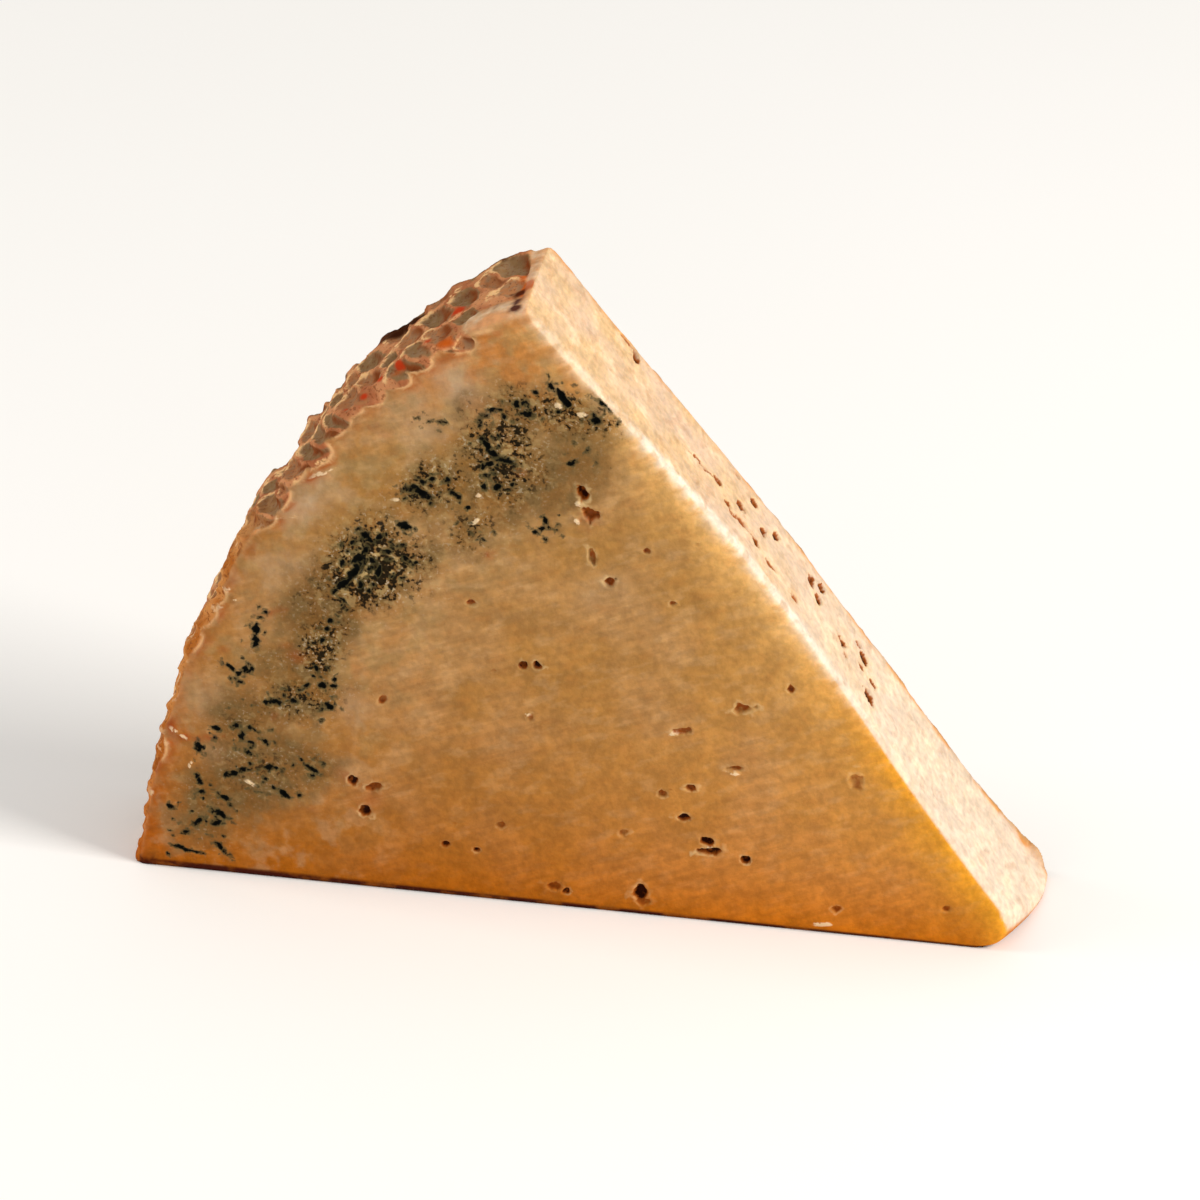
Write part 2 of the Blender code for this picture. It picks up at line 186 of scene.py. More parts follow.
# painted highlight along the rounded edge between the two cuts: depths and radii where it shows
EDGE_HIGHLIGHT_DEPTHS = (0.0024, 0.001)
EDGE_HIGHLIGHT_RADII = (0.036, 0.022)
EDGE_HIGHLIGHT_FAINT_RADII = (0.092, 0.008)
PARTS = (  # masks of parts of the wedge: the measure that tells them, where they start, how much further to whole
    ("back_edge", "depth", SLAB_THICKNESS - 0.0020, 0.0012),
    ("near_tip", "radius", 0.088, -0.066),
    ("old", "radius", 0.085, 0.016),
    ("top", "height", 0.074, 0.010),
)

# The rind's border on the front cut, and the widths of the lines and fades along the edges
BORDER_REACH = 0.0009
BORDER_TATTER = 0.0003
BORDER_RIPPLE = 0.00015
# the cream line on the rind's lip is a pale ridge, partly a painted highlight
LIP_HALF_WIDTH = 0.00034
# painted shadow under the rind's lip: how far from the border it lies and its half-width
LIP_SHADOW_FROM = 0.0007
LIP_SHADOW_HALF_WIDTH = 0.0006
STRAIGHT_LIP = 0.2  # strength of the lip where the border has no lobe
STRAIGHT_LIP_SHADOW = 0.25
EDGE_FROM = 0.0006
EDGE_FADE = 0.0042
# painted highlight along the rounded edge between the two cuts: its half-width and how much fainter it grows
EDGE_HIGHLIGHT_HALF_WIDTH = 0.0011
EDGE_HIGHLIGHT_FAINTER = 0.6
BARK_FROM = 0.001
BARK_FADE = 0.0026
LOW_FADE = 0.020
# A painted contact shadow along the base: its height at the axis, its rise away from the axis, its ease and how far
# behind the front cut it reaches
CONTACT_SHADOW_HEIGHT = 0.0006
CONTACT_SHADOW_RISE = 0.0075
CONTACT_SHADOW_EASE = 0.0005
CONTACT_SHADOW_DEPTH = 0.010

# Fine mesh
VOXEL = 0.0003
SMOOTHING_ROUNDS = 6
MOST_TRIANGLES = 192000

# Eyes in the front cut: from the axis along the base, height, width, height of the eye, depth (mm), darkness
# the darkness gives the eye's brown lining; its darkest cores are partly painted shade in the pit
FRONT_EYES_MM = (
    (63.6, 66.4, 1.5, 2.2, 1.2, 0.9), (62.6, 63.3, 1.8, 1.8, 1.1, 0.7), (62.3, 56.8, 1.0, 2.6, 0.7, 0.4),
    (59.9, 53.2, 1.5, 1.5, 0.9, 0.55), (71.6, 38.6, 1.3, 1.1, 1.0, 0.9), (69.8, 38.9, 1.3, 1.2, 1.0, 0.9),
    (70.7, 30.4, 1.0, 1.0, 0.4, 0.3), (54.9, 58.6, 1.2, 0.9, 0.5, 0.6), (51.2, 50.8, 0.9, 0.8, 0.5, 0.5),
    (34.9, 38.9, 1.1, 1.1, 0.6, 0.6), (41.3, 35.2, 2.6, 1.3, 0.8, 0.4), (49.8, 30.7, 2.4, 0.9, 0.7, 0.4),
    (42.3, 25.5, 2.4, 0.9, 0.6, 0.4), (25.6, 25.4, 1.8, 2.2, 0.6, 0.3), (52.2, 20.3, 1.4, 1.0, 0.6, 0.5),
    (48.4, 21.8, 1.4, 1.1, 0.7, 0.7), (49.2, 16.8, 1.9, 1.0, 0.9, 0.9), (45.8, 13.2, 1.9, 1.2, 1.1, 0.9),
    (45.4, 11.7, 3.2, 1.2, 1.0, 0.8), (40.6, 10.9, 1.2, 1.2, 1.3, 1.0), (55.2, 3.8, 2.0, 2.2, 1.2, 1.0),
    (54.6, 2.2, 1.8, 1.0, 0.7, 0.5), (65.6, 2.7, 1.2, 0.9, 0.7, 0.9), (67.4, 3.4, 2.2, 1.2, 0.7, 0.5),
    (57.7, 13.4, 1.5, 0.9, 0.5, 0.3), (91.2, 31.0, 1.2, 0.9, 0.5, 0.5), (95.7, 17.4, 1.2, 1.6, 0.8, 0.8),
    (92.4, 16.8, 2.4, 1.2, 0.8, 0.6), (93.8, 12.9, 1.6, 1.8, 1.0, 0.9), (82.7, 8.6, 1.1, 0.9, 0.6, 0.7),
    (78.2, 8.1, 1.2, 0.8, 0.6, 0.8), (74.8, 12.6, 1.0, 0.8, 0.5, 0.4), (78.9, 47.9, 1.1, 0.8, 0.5, 0.6),
    (28.0, 4.3, 1.3, 0.9, 0.5, 0.5), (12.6, 6.2, 1.2, 0.8, 0.4, 0.4),
)
# Eyes in the upper cut: from the axis, depth behind the front cut, length, width, depth (mm), darkness
UPPER_EYES_MM = (
    # the darkness gives the eye's brown lining; its darkest cores are partly painted shade in the pit
    (98.2, 17.3, 1.46, 2.44, 1.2, 0.98), (100.4, 18.9, 3.52, 1.17, 0.5, 0.48),
    (86.0, 10.4, 2.54, 0.98, 0.4, 0.34), (82.4, 10.6, 4.50, 0.89, 0.8, 0.78),
    (79.5, 10.9, 1.76, 1.85, 1.1, 0.98), (83.4, 4.8, 1.56, 1.95, 0.3, 0.15),
    (76.8, 8.2, 1.37, 1.76, 0.8, 0.74), (74.5, 11.6, 1.76, 1.95, 0.9, 0.83),
    (72.2, 16.6, 1.56, 1.76, 0.7, 0.68), (76.0, 7.2, 1.37, 1.37, 0.5, 0.48),
    (73.7, 7.7, 4.30, 1.66, 0.7, 0.54), (70.6, 7.2, 1.56, 1.66, 0.8, 0.74),
    (69.5, 12.0, 1.46, 2.15, 0.9, 0.89), (66.8, 15.0, 1.37, 2.15, 0.9, 0.93),
    (76.1, 18.4, 1.26, 1.56, 0.5, 0.39), (67.3, 5.9, 2.35, 1.46, 0.6, 0.54),
    (61.4, 5.6, 1.46, 1.95, 0.5, 0.39), (58.7, 14.7, 1.46, 2.24, 1.0, 0.93),
    (56.4, 16.5, 1.46, 2.35, 1.0, 0.93), (56.7, 12.4, 1.56, 2.54, 1.2, 0.98),
    (50.5, 10.2, 2.35, 1.66, 0.8, 0.83), (49.4, 8.2, 1.17, 1.37, 0.5, 0.48),
    (46.9, 15.0, 1.17, 1.56, 0.6, 0.54), (45.6, 13.3, 2.05, 2.44, 1.2, 0.98),
    (45.8, 10.6, 1.26, 1.56, 0.7, 0.68), (43.0, 10.4, 1.76, 1.66, 0.8, 0.83),
    (43.2, 6.1, 2.44, 2.35, 1.3, 0.98),
)
# Dark mould marks on the front cut: from the axis, height, length, width (mm), tilt (degrees), strength
MOULD_MARKS_MM = (
    (68.0, 82.3, 1.51, 0.76, -50, 1.0), (66.5, 80.9, 2.55, 0.94, -55, 1.0),
    (65.9, 80.0, 1.23, 1.04, -70, 1.0), (61.1, 80.4, 1.23, 0.76, -40, 0.9),
    (59.9, 79.6, 1.23, 1.04, -50, 1.0), (61.9, 77.7, 1.51, 1.04, 25, 1.0),
    (72.7, 79.1, 1.13, 0.85, -60, 0.9), (71.0, 77.9, 1.23, 0.85, -30, 1.0),
    (74.4, 77.1, 0.94, 0.66, 60, 0.9), (77.2, 77.0, 1.70, 1.13, 20, 0.6),
    (75.8, 78.0, 2.08, 0.66, 12, 0.7), (77.6, 75.4, 1.04, 0.76, 60, 0.7),
    (76.9, 72.8, 2.08, 0.85, -50, 1.0), (75.7, 71.2, 1.51, 0.94, -45, 1.0),
    (74.6, 70.4, 2.45, 0.66, -8, 1.0), (76.2, 69.8, 1.23, 0.76, 20, 1.0),
    (76.7, 67.8, 1.23, 0.66, 0, 0.7), (75.3, 66.3, 1.23, 1.04, 40, 1.0),
    (73.2, 66.9, 1.13, 0.47, 40, 0.7), (73.0, 70.0, 1.13, 0.47, -30, 0.7),
    (64.9, 71.0, 0.94, 0.76, 20, 0.8), (63.1, 73.0, 1.70, 0.76, 50, 0.5),
    (61.9, 71.4, 1.42, 0.66, -50, 0.6), (68.7, 61.8, 1.42, 0.85, -60, 1.0),
    (68.2, 60.7, 0.85, 0.66, -60, 0.9), (70.1, 59.8, 0.85, 0.76, 30, 0.8),
    (84.4, 75.4, 1.23, 0.57, 30, 0.7), (82.8, 75.5, 1.32, 0.57, -15, 0.8),
    (81.0, 64.4, 1.89, 0.76, -50, 0.9), (82.4, 66.4, 1.60, 0.76, 30, 0.5),
    (85.8, 64.4, 2.36, 1.04, -20, 1.0), (84.8, 63.8, 1.04, 0.85, 0, 0.9),
    (88.1, 64.6, 1.51, 0.66, 60, 0.7), (86.2, 66.6, 1.13, 0.57, 30, 0.5),
    (84.2, 67.3, 1.13, 0.57, 0, 0.5), (78.9, 58.7, 1.60, 0.57, -40, 0.6),
    (77.5, 57.9, 1.23, 0.57, -10, 0.6), (88.0, 58.9, 1.79, 1.04, -15, 1.0),
    (93.5, 57.0, 1.51, 1.04, 40, 1.0), (91.6, 56.7, 1.23, 0.76, 60, 0.9),
    (95.2, 55.6, 1.23, 0.66, 60, 0.8), (93.3, 54.7, 1.70, 0.76, 60, 1.0),
    (94.3, 53.1, 1.60, 0.85, 30, 1.0), (92.4, 53.0, 1.32, 0.76, -50, 1.0),
    (91.6, 51.3, 1.79, 0.76, 78, 1.0), (94.9, 51.2, 2.27, 0.85, 55, 1.0),
    (96.6, 49.0, 2.55, 0.85, 38, 1.0), (97.8, 47.7, 1.32, 0.57, 40, 0.8),
    (94.1, 48.9, 1.70, 0.76, 88, 1.0), (90.4, 54.7, 1.04, 0.66, 0, 0.8),
    (88.0, 54.0, 1.23, 0.76, -30, 0.9), (86.6, 53.3, 1.04, 0.57, 40, 0.8),
    (88.3, 55.9, 1.04, 0.57, 20, 0.8), (96.9, 46.5, 1.23, 0.47, -40, 0.7),
    (89.6, 50.9, 1.13, 0.47, 30, 0.7), (98.5, 42.8, 1.04, 0.85, 60, 1.0),
    (98.9, 41.5, 0.94, 0.76, 60, 0.9), (99.6, 39.6, 1.23, 0.66, 60, 0.8),
    (108.9, 40.4, 1.42, 0.85, 88, 1.0), (108.9, 38.6, 1.42, 0.94, 88, 1.0),
    (107.5, 43.2, 0.85, 0.76, 20, 0.9), (112.4, 33.8, 1.60, 0.76, -32, 1.0),
    (110.6, 33.7, 1.42, 0.85, 60, 1.0), (111.5, 33.1, 1.32, 0.57, 0, 0.9),
    (100.6, 35.2, 1.23, 0.66, -50, 1.0), (101.9, 32.1, 0.94, 0.76, 20, 0.8),
    (99.6, 32.4, 1.04, 0.85, 0, 1.0), (98.2, 32.5, 0.85, 0.76, 0, 1.0), (98.7, 29.0, 1.32, 1.04, 10, 1.0),
    (100.1, 28.4, 0.76, 0.57, 10, 0.7), (103.8, 29.6, 1.42, 0.66, 12, 0.9),
    (106.4, 29.0, 1.70, 0.85, 0, 1.0), (107.7, 28.8, 0.85, 0.57, 0, 0.9),
    (109.3, 28.1, 1.13, 0.57, 20, 0.5), (113.0, 27.4, 0.85, 0.57, 0, 0.4),
    (114.8, 23.7, 1.23, 0.85, -10, 1.0), (112.0, 24.6, 1.51, 1.13, 30, 0.7),
    (111.2, 22.8, 1.70, 0.66, 75, 0.9), (109.2, 24.0, 1.32, 0.47, -35, 0.7),
    (107.9, 22.5, 1.42, 0.76, -55, 1.0), (110.2, 20.1, 1.23, 0.76, -20, 0.9),
    (117.4, 20.4, 1.42, 0.85, -75, 1.0), (107.6, 18.2, 1.70, 0.76, 8, 1.0),
    (109.1, 17.7, 0.66, 0.57, 0, 0.7), (111.2, 17.5, 1.42, 0.76, 20, 1.0),
    (112.4, 16.6, 0.94, 0.94, 0, 1.0), (108.0, 16.4, 1.04, 0.66, -30, 0.7),
    (102.8, 20.0, 1.42, 0.47, -60, 0.7), (101.7, 18.8, 2.27, 0.66, -25, 0.9),
    (99.9, 17.8, 0.94, 0.66, 60, 0.5), (117.4, 14.9, 1.23, 0.76, -50, 1.0),
    (117.2, 13.0, 1.04, 0.85, -20, 0.9), (115.6, 13.6, 1.23, 0.57, 20, 0.5),
    (113.8, 12.5, 1.32, 0.76, -20, 0.9), (105.4, 14.2, 1.79, 0.85, -45, 1.0),
    (108.4, 13.9, 3.21, 0.38, -5, 0.5), (121.6, 10.2, 1.32, 0.76, -60, 0.9),
    (114.4, 9.6, 2.45, 0.85, -30, 1.0), (115.2, 8.1, 1.32, 0.76, 30, 1.0),
    (117.6, 8.3, 1.60, 0.85, 40, 0.9), (119.8, 6.2, 1.04, 0.76, 30, 0.9),
    (114.7, 4.3, 2.45, 0.85, -50, 1.0), (120.4, 3.6, 2.83, 0.57, -12, 0.9),
    (117.6, 3.0, 2.27, 0.38, -5, 0.7),
)
# Clouds of mould: from the axis, height, half-length, half-width (mm), tilt (degrees), share, graininess
MOULD_CLOUDS_MM = (
    (67.0, 78.6, 9.5, 3.2, -8, 0.62, 0.55), (63.0, 72.0, 4.6, 5.4, 0, 0.50, 0.10),
    (74.6, 71.5, 5.2, 7.0, 10, 0.66, 0.70), (69.0, 67.0, 7.0, 4.6, 10, 0.46, 0.10),
    (84.2, 65.8, 5.8, 3.6, 40, 0.62, 0.60), (78.5, 59.5, 6.0, 4.2, 30, 0.46, 0.35),
    (92.5, 52.3, 6.8, 5.6, 45, 0.90, 1.00), (99.5, 46.5, 5.6, 5.0, 45, 0.62, 0.30),
    (103.5, 42.0, 6.0, 4.6, 50, 0.28, 0.10), (99.8, 38.5, 3.0, 5.4, -20, 0.60, 0.65),
    (105.5, 36.0, 5.6, 3.4, 0, 0.34, 0.20), (102.5, 30.0, 6.4, 3.6, 10, 0.56, 0.45),
    (111.0, 25.0, 5.4, 4.4, 0, 0.56, 0.25), (109.0, 18.0, 7.0, 4.8, 0, 0.60, 0.30),
    (101.0, 19.5, 4.4, 3.6, -30, 0.54, 0.20), (116.0, 12.0, 5.4, 5.0, 0, 0.52, 0.20),
    (117.0, 6.5, 5.0, 3.6, 0, 0.46, 0.20), (108.0, 12.0, 6.4, 3.4, 0, 0.34, 0.05),
    (113.0, 31.0, 6.0, 5.0, 0, 0.20, 0.10),
)
# Pale greyish bloom on the front cut: from the axis, height, half-length, half-width (mm), tilt, share
BLOOM_MM = (
    (80.5, 81.0, 4.6, 3.0, -40, 0.9), (86.0, 76.0, 5.0, 3.6, -40, 0.5), (101.5, 61.5, 4.6, 3.4, 40, 0.9),
    (104.0, 50.0, 5.0, 4.0, 50, 0.5), (116.5, 28.5, 4.0, 3.6, 0, 0.5), (114.5, 19.5, 3.0, 2.6, 0, 0.6),
    (110.0, 15.8, 3.0, 1.4, -20, 0.8), (95.5, 29.0, 2.6, 2.6, 0, 0.6), (61.5, 79.0, 1.4, 0.8, -40, 0.9),
    (74.6, 74.2, 1.6, 1.4, 0, 0.8), (60.5, 52.0, 4.6, 2.6, 30, 0.4),
)
# Cream ridges and painted highlights of wet glints: from the axis, height, length, width (mm), tilt (degrees)
CREAM_RIDGES_AND_GLINTS_MM = (
    (106.2, 62.9, 4.0, 0.5, 48), (102.8, 66.5, 4.6, 0.6, 52), (99.3, 66.0, 3.6, 0.6, 28),
    (99.6, 69.8, 2.6, 0.5, 60), (112.9, 46.2, 1.2, 0.8, 0), (114.2, 47.6, 1.0, 0.7, 20),
    (111.6, 44.9, 1.0, 0.6, 0), (115.5, 42.3, 3.4, 0.6, 36), (117.3, 40.4, 1.8, 0.5, 60),
    (122.2, 20.5, 1.7, 0.8, 15), (120.3, 22.5, 2.6, 0.6, -35), (123.4, 18.6, 3.0, 0.6, 58),
    (124.6, 11.8, 1.4, 0.8, 40), (118.6, 17.6, 1.2, 0.5, 70), (106.6, 58.0, 4.0, 0.4, 12),
    (78.2, 60.8, 1.3, 0.6, 30), (77.8, 64.9, 0.7, 0.6, 0), (89.0, 63.0, 1.2, 0.6, 20),
    (96.2, 42.2, 1.3, 0.5, 50), (66.9, 79.6, 1.4, 0.7, -30), (63.8, 78.6, 1.2, 0.6, 0),
    (71.0, 30.8, 0.8, 0.6, 0), (50.6, 30.4, 1.8, 0.6, 20), (42.6, 24.8, 1.8, 0.5, -10),
    (110.3, 15.5, 2.2, 0.5, -30), (64.2, 64.9, 0.9, 0.8, 0), (64.6, 62.4, 1.6, 0.5, -60),
    (45.6, 12.4, 1.2, 0.6, -30), (29.6, 1.6, 2.6, 0.6, 5),
)
# Rust-coloured marks: from the axis, height, length, width (mm), tilt (degrees), strength
RUST_MARKS_MM = (
    (106.4, 43.4, 2.8, 0.8, 22, 0.7), (116.9, 37.0, 3.2, 1.6, 62, 0.6), (113.3, 37.0, 1.3, 0.8, 30, 0.6),
    (121.4, 23.4, 3.0, 1.8, -50, 1.0), (119.6, 21.9, 2.4, 1.2, 10, 1.0), (116.4, 22.0, 3.4, 0.7, 12, 0.8),
    (123.6, 16.4, 2.4, 1.4, 60, 1.0), (124.6, 13.6, 1.8, 1.0, 60, 0.9), (122.6, 18.0, 2.0, 0.8, 58, 0.7),
    (103.4, 36.6, 2.2, 1.6, 0, 0.5), (104.6, 38.3, 1.4, 1.0, 0, 0.4), (106.6, 26.8, 1.0, 0.9, 0, 0.6),
    (92.0, 73.5, 1.3, 0.8, 20, 0.6), (90.2, 72.7, 1.5, 0.7, 0, 0.5), (101.4, 12.0, 1.0, 0.8, 0, 0.5),
    (94.9, 35.2, 1.4, 0.6, 80, 0.5), (57.0, 73.0, 1.1, 1.0, 0, 0.5), (76.4, 55.5, 1.2, 0.8, 20, 0.9),
    (72.2, 69.0, 1.1, 0.8, 0, 0.7), (109.3, 53.0, 1.6, 0.9, 30, 0.6), (110.0, 55.8, 1.4, 0.8, 70, 0.8),
    (106.4, 61.0, 1.2, 1.0, 40, 0.8), (100.6, 64.9, 4.0, 0.9, 30, 0.8), (98.4, 67.8, 1.2, 0.9, 20, 0.7),
    (104.6, 64.4, 3.2, 0.7, 50, 0.6), (114.6, 41.6, 3.0, 0.8, 36, 0.8), (112.4, 47.4, 2.2, 1.4, 50, 0.5),
    (96.2, 17.8, 2.8, 1.4, -40, 0.5), (93.2, 14.6, 3.6, 2.6, 60, 0.4), (81.5, 85.6, 4.0, 0.7, 32, 0.8),
    (62.6, 62.8, 2.0, 1.6, 30, 0.7),
)
EYE_TILT = 12.0
PIT_RIM = 1.25  # the rim of a pit lies this far from its middle, in its half-sizes
PIT_RIM_HALF_WIDTH = 0.25
PIT_EASE = 0.6
ON_FACE = 0.3  # a mark is only on points that belong to its face by more than this share
ELSEWHERE = 99.0
MOST_INWARD = -0.6  # how far noise may draw the border of a mark in
CLOUD_SPREAD = 2.4  # a cloud's full size for its half-size in the list
CLOUD_DRIFT = 0.35
CLOUD_FALLOFF = 1.2
MOULD_SEED = 23
MOULD_SPOTS_EACH = 3
SPOT_AWAY_MM = (0.2, 1.6)
SPOT_SIZE_MM = (0.35, 0.75)
SPOT_LENGTHENED = 1.5
SPOT_STRENGTH = (0.3, 0.9)
MOULD_FALLOFF = 0.7
MOULD_DEPTH_SHARE = 0.4
HALO_MM = 2.0
HALO_SHARE = 0.4
MARK_FALLOFF = 0.8
PINHOLE_SEED = 41
PINHOLES = 28
PINHOLES_IN_FRONT = 0.75
PINHOLE_FROM_AXIS_MM = (10.0, 118.0)
PINHOLE_HEIGHT_MM = (1.0, 88.0)
PINHOLE_SIZE_MM = (0.4, 0.7)
PINHOLE_DARKNESS = (0.05, 0.3)
PINHOLE_LENGTHENED = 1.4
PINHOLE_DEPTH_SHARE = 0.2
PINHOLE_DEPTH_PER_HEIGHT = 0.2  # in the upper cut the height drawn is turned into a depth behind the front cut
PINHOLE_LEAST_DEPTH_MM = 1.0
# How much each mark counts when triangles are kept for it, and the share from which they are kept
KEPT_WEIGHTS = {"grain": 1.2, "speck": 5.0, "rim": 3.0, "eye": 5.0, "pale": 3.0, "lip": 3.0}
KEPT_FROM = 0.3
KEPT_RIND_DEPTH = 0.0195
KEPT_RIND_ANGLE = 0.05

# The camera: the angle it looks from, its distance, and the view's scale and centre as measured in the photo
CAMERA_AZIMUTH = math.radians(9.56)
CAMERA_ELEVATION = math.radians(30.73)
CAMERA_ROLL = math.radians(-0.48)
CAMERA_DISTANCE = 0.900
PICTURE_SIZE_PX = 1200
PICTURE_SCALE_PX_PER_MM = 7.315
PICTURE_CENTRE_PX = (584.6, 593.4)
CENTRE_FROM_AXIS = Vector((-0.065, 0.010, 0.045))
SENSOR_MM = 36.0
SEEN_FROM_TO = (0.01, 20.0)

# Light, floor and the material's surface
WORLD_COLOUR = (1.0, 0.985, 0.96, 1.0)
WORLD_STRENGTH = 0.50
LIGHT_AIM = Vector((0.0, 0.0, 0.045))
LIGHT_COLOUR = (1.0, 0.97, 0.92)
LIGHTS = (  # name, place, size, power
    ("key", (0.85, -0.22, 0.62), 0.35, 9.0),
    ("rind_fill", (-0.75, -0.05, 0.75), 0.40, 3.0),
)
FLOOR_SIZE = 4.0
DRAG_TILT = math.radians(-22.0)  # the knife's drag across both cuts
CRUST_ROUGHNESS = 0.85
SUBSURFACE_RADII = Vector((1.0, 0.5, 0.2))
SUBSURFACE_SCALE = 0.0015
BUMP_HEIGHT = 0.0003


def place(radius, angle, depth):
    """The point at a distance from the wheel's axis, an angle above the base and a depth behind the front cut."""
    return (WHEEL_AXIS_X - radius * math.cos(angle), FRONT_Y + depth, radius * math.sin(angle))


def smooth_step(value):
    value = np.clip(value, 0.0, 1.0)
    return value * value * (3.0 - 2.0 * value)


def rising(value, start, over):
    return smooth_step((value - start) / over)


def falling(value, end, over):
    return smooth_step((end - value) / over)


def hill(value, half_width):
    return np.exp(-((value / half_width) ** 2))


def rind_radius(angle):
    """The round rind's distance from the axis, without its relief."""
    turn = np.clip(angle / WEDGE_ANGLE, 0.0, 1.0)
    corner = np.clip((angle - CORNER_FALL_START) / (WEDGE_ANGLE - CORNER_FALL_START), 0.0, 1.0)
    return WHEEL_RADIUS - RIND_FLATTENING * turn ** RIND_FLATTENING_POWER - CORNER_FALL * corner ** 2


def rind_hollow(angle, depth):
    """How deep the hollows across the round rind are at an angle and a depth."""
    share = RIND_HOLLOW_FRONT_SHARE + (1.0 - RIND_HOLLOW_FRONT_SHARE) * depth / SLAB_THICKNESS
    total = 0.0
    for middle, half_width, deep in RIND_HOLLOWS:
        along = WHEEL_RADIUS * (angle - math.radians(middle))
        total += deep * MM * hill(along, half_width * MM)
    return total * share


def upper_lift(radius, depth):
    """How far the upper cut swells out of its plane."""
    share = depth / SLAB_THICKNESS
    height = UPPER_LIFT_FRONT + (UPPER_LIFT_BACK - UPPER_LIFT_FRONT) * share
    return height * hill(radius - UPPER_LIFT_RADIUS, UPPER_LIFT_SPREAD)


def nose_start(depth):
    """How far from the axis, along both radial cuts, the blunt tip begins."""
    worn = max(0.0, 1.0 - depth / NOSE_WEAR_DEPTH)
    return NOSE_BACK + NOSE_WEAR * worn ** NOSE_WEAR_POWER


def edge_inset(depth):
    """How far the outline draws in near the front and back faces, where the edges are round."""
    near = min(depth, SLAB_THICKNESS - depth)
    if near >= EDGE_RADIUS:
        return 0.0
    return EDGE_RADIUS - math.sqrt(EDGE_RADIUS ** 2 - (EDGE_RADIUS - near) ** 2)


def rim_inset(depth):
    """How much further the round rind draws in near the front cut and near the flat rind."""
    if depth < FRONT_RIM_DEPTH:
        share = 1.0 - depth / FRONT_RIM_DEPTH
        return FRONT_RIM_INSET * (1.0 - math.sqrt(1.0 - share ** 2))
    beyond = depth - (SLAB_THICKNESS - BACK_RIM_RADIUS)
    if beyond <= 0.0:
        return 0.0
    return BACK_RIM_RADIUS - math.sqrt(max(0.0, BACK_RIM_RADIUS ** 2 - beyond ** 2))


def nose_points(start):
    """The blunt tip: an arc that is tangent to both radial cuts, from the upper cut down to the base."""
    half = WEDGE_ANGLE / 2
    middle = start / math.cos(half)
    size = start * math.tan(half)
    points = []
    for k in range(1, NOSE_POINTS):
        angle = WEDGE_ANGLE * (1.0 - k / NOSE_POINTS)
        off = angle - half
        radius = middle * math.cos(off) - math.sqrt(max(0.0, size ** 2 - (middle * math.sin(off)) ** 2))
        points.append((radius, angle))
    return points


def outline(depth):
    """The wedge's outline at a depth, as a ring of points: base, round rind, upper cut and blunt tip."""
    inset = edge_inset(depth)
    rind_inset = inset + rim_inset(depth)
    start = nose_start(depth) + inset
    along = int(WHEEL_RADIUS / OUTLINE_STEP)
    round_rind = int(WHEEL_RADIUS * WEDGE_ANGLE / OUTLINE_STEP)
    low_rim = rind_radius(0.0) - rind_inset - rind_hollow(0.0, depth)
    high_rim = rind_radius(WEDGE_ANGLE) - rind_inset - rind_hollow(WEDGE_ANGLE, depth)
    ring = []
    for k in range(along):
        radius = start + (low_rim - start) * k / along
        ring.append(Vector(place(radius, 0.0, depth)) + Vector((0.0, 0.0, inset)))
    for k in range(round_rind):
        angle = WEDGE_ANGLE * k / round_rind
        radius = rind_radius(angle) - rind_inset - rind_hollow(angle, depth)
        ring.append(Vector(place(radius, angle, depth)))
    outward = Vector((math.sin(WEDGE_ANGLE), 0.0, math.cos(WEDGE_ANGLE)))
    for k in range(along + 1):
        radius = high_rim + (start - high_rim) * k / along
        lift = upper_lift(radius, depth) - inset
        ring.append(Vector(place(radius, WEDGE_ANGLE, depth)) + outward * lift)
    for radius, angle in nose_points(start):
        ring.append(Vector(place(radius, angle, depth)))
    return ring


def ring_depths():
    """Depths of the outlines, close together where the edges are round."""
    front = [FRONT_RIM_DEPTH * (1.0 - math.cos(math.radians(a))) for a in (0, 15, 30, 45, 65, 90)]
    back = [SLAB_THICKNESS - BACK_RIM_RADIUS * (1.0 - math.cos(math.radians(a))) for a in (90, 70, 50, 35, 20, 0)]
    middle = np.linspace(front[-1], back[0], 16)[1:-1]
    return front + [float(depth) for depth in middle] + back


def lofted_block():
    """The wedge without relief, as a closed mesh lofted through its outlines."""
    bm = bmesh.new()
    rings = [[bm.verts.new(point) for point in outline(depth)] for depth in ring_depths()]
    for ring, behind in zip(rings, rings[1:]):
        for k in range(len(ring)):
            following = (k + 1) % len(ring)
            bm.faces.new((ring[k], ring[following], behind[following], behind[k]))
    bm.faces.new(list(reversed(rings[0])))
    bm.faces.new(rings[-1])
    bmesh.ops.recalc_face_normals(bm, faces=bm.faces)
    mesh = bpy.data.meshes.new("block")
    bm.to_mesh(mesh)
    bm.free()
    return mesh


def applied(mesh, add_modifiers):
    """The mesh as these modifiers leave it."""
    block = bpy.data.objects.new("block", mesh)
    bpy.context.collection.objects.link(block)
    add_modifiers(block)
    evaluated = block.evaluated_get(bpy.context.evaluated_depsgraph_get())
    made = bpy.data.meshes.new_from_object(evaluated)
    bpy.data.objects.remove(block, do_unlink=True)
    return made


def even_and_soft(block):
    remesh = block.modifiers.new("even", "REMESH")
    remesh.mode = "VOXEL"
    remesh.voxel_size = VOXEL
    soft = block.modifiers.new("soft", "SMOOTH")
    soft.factor = 0.5
    soft.iterations = SMOOTHING_ROUNDS


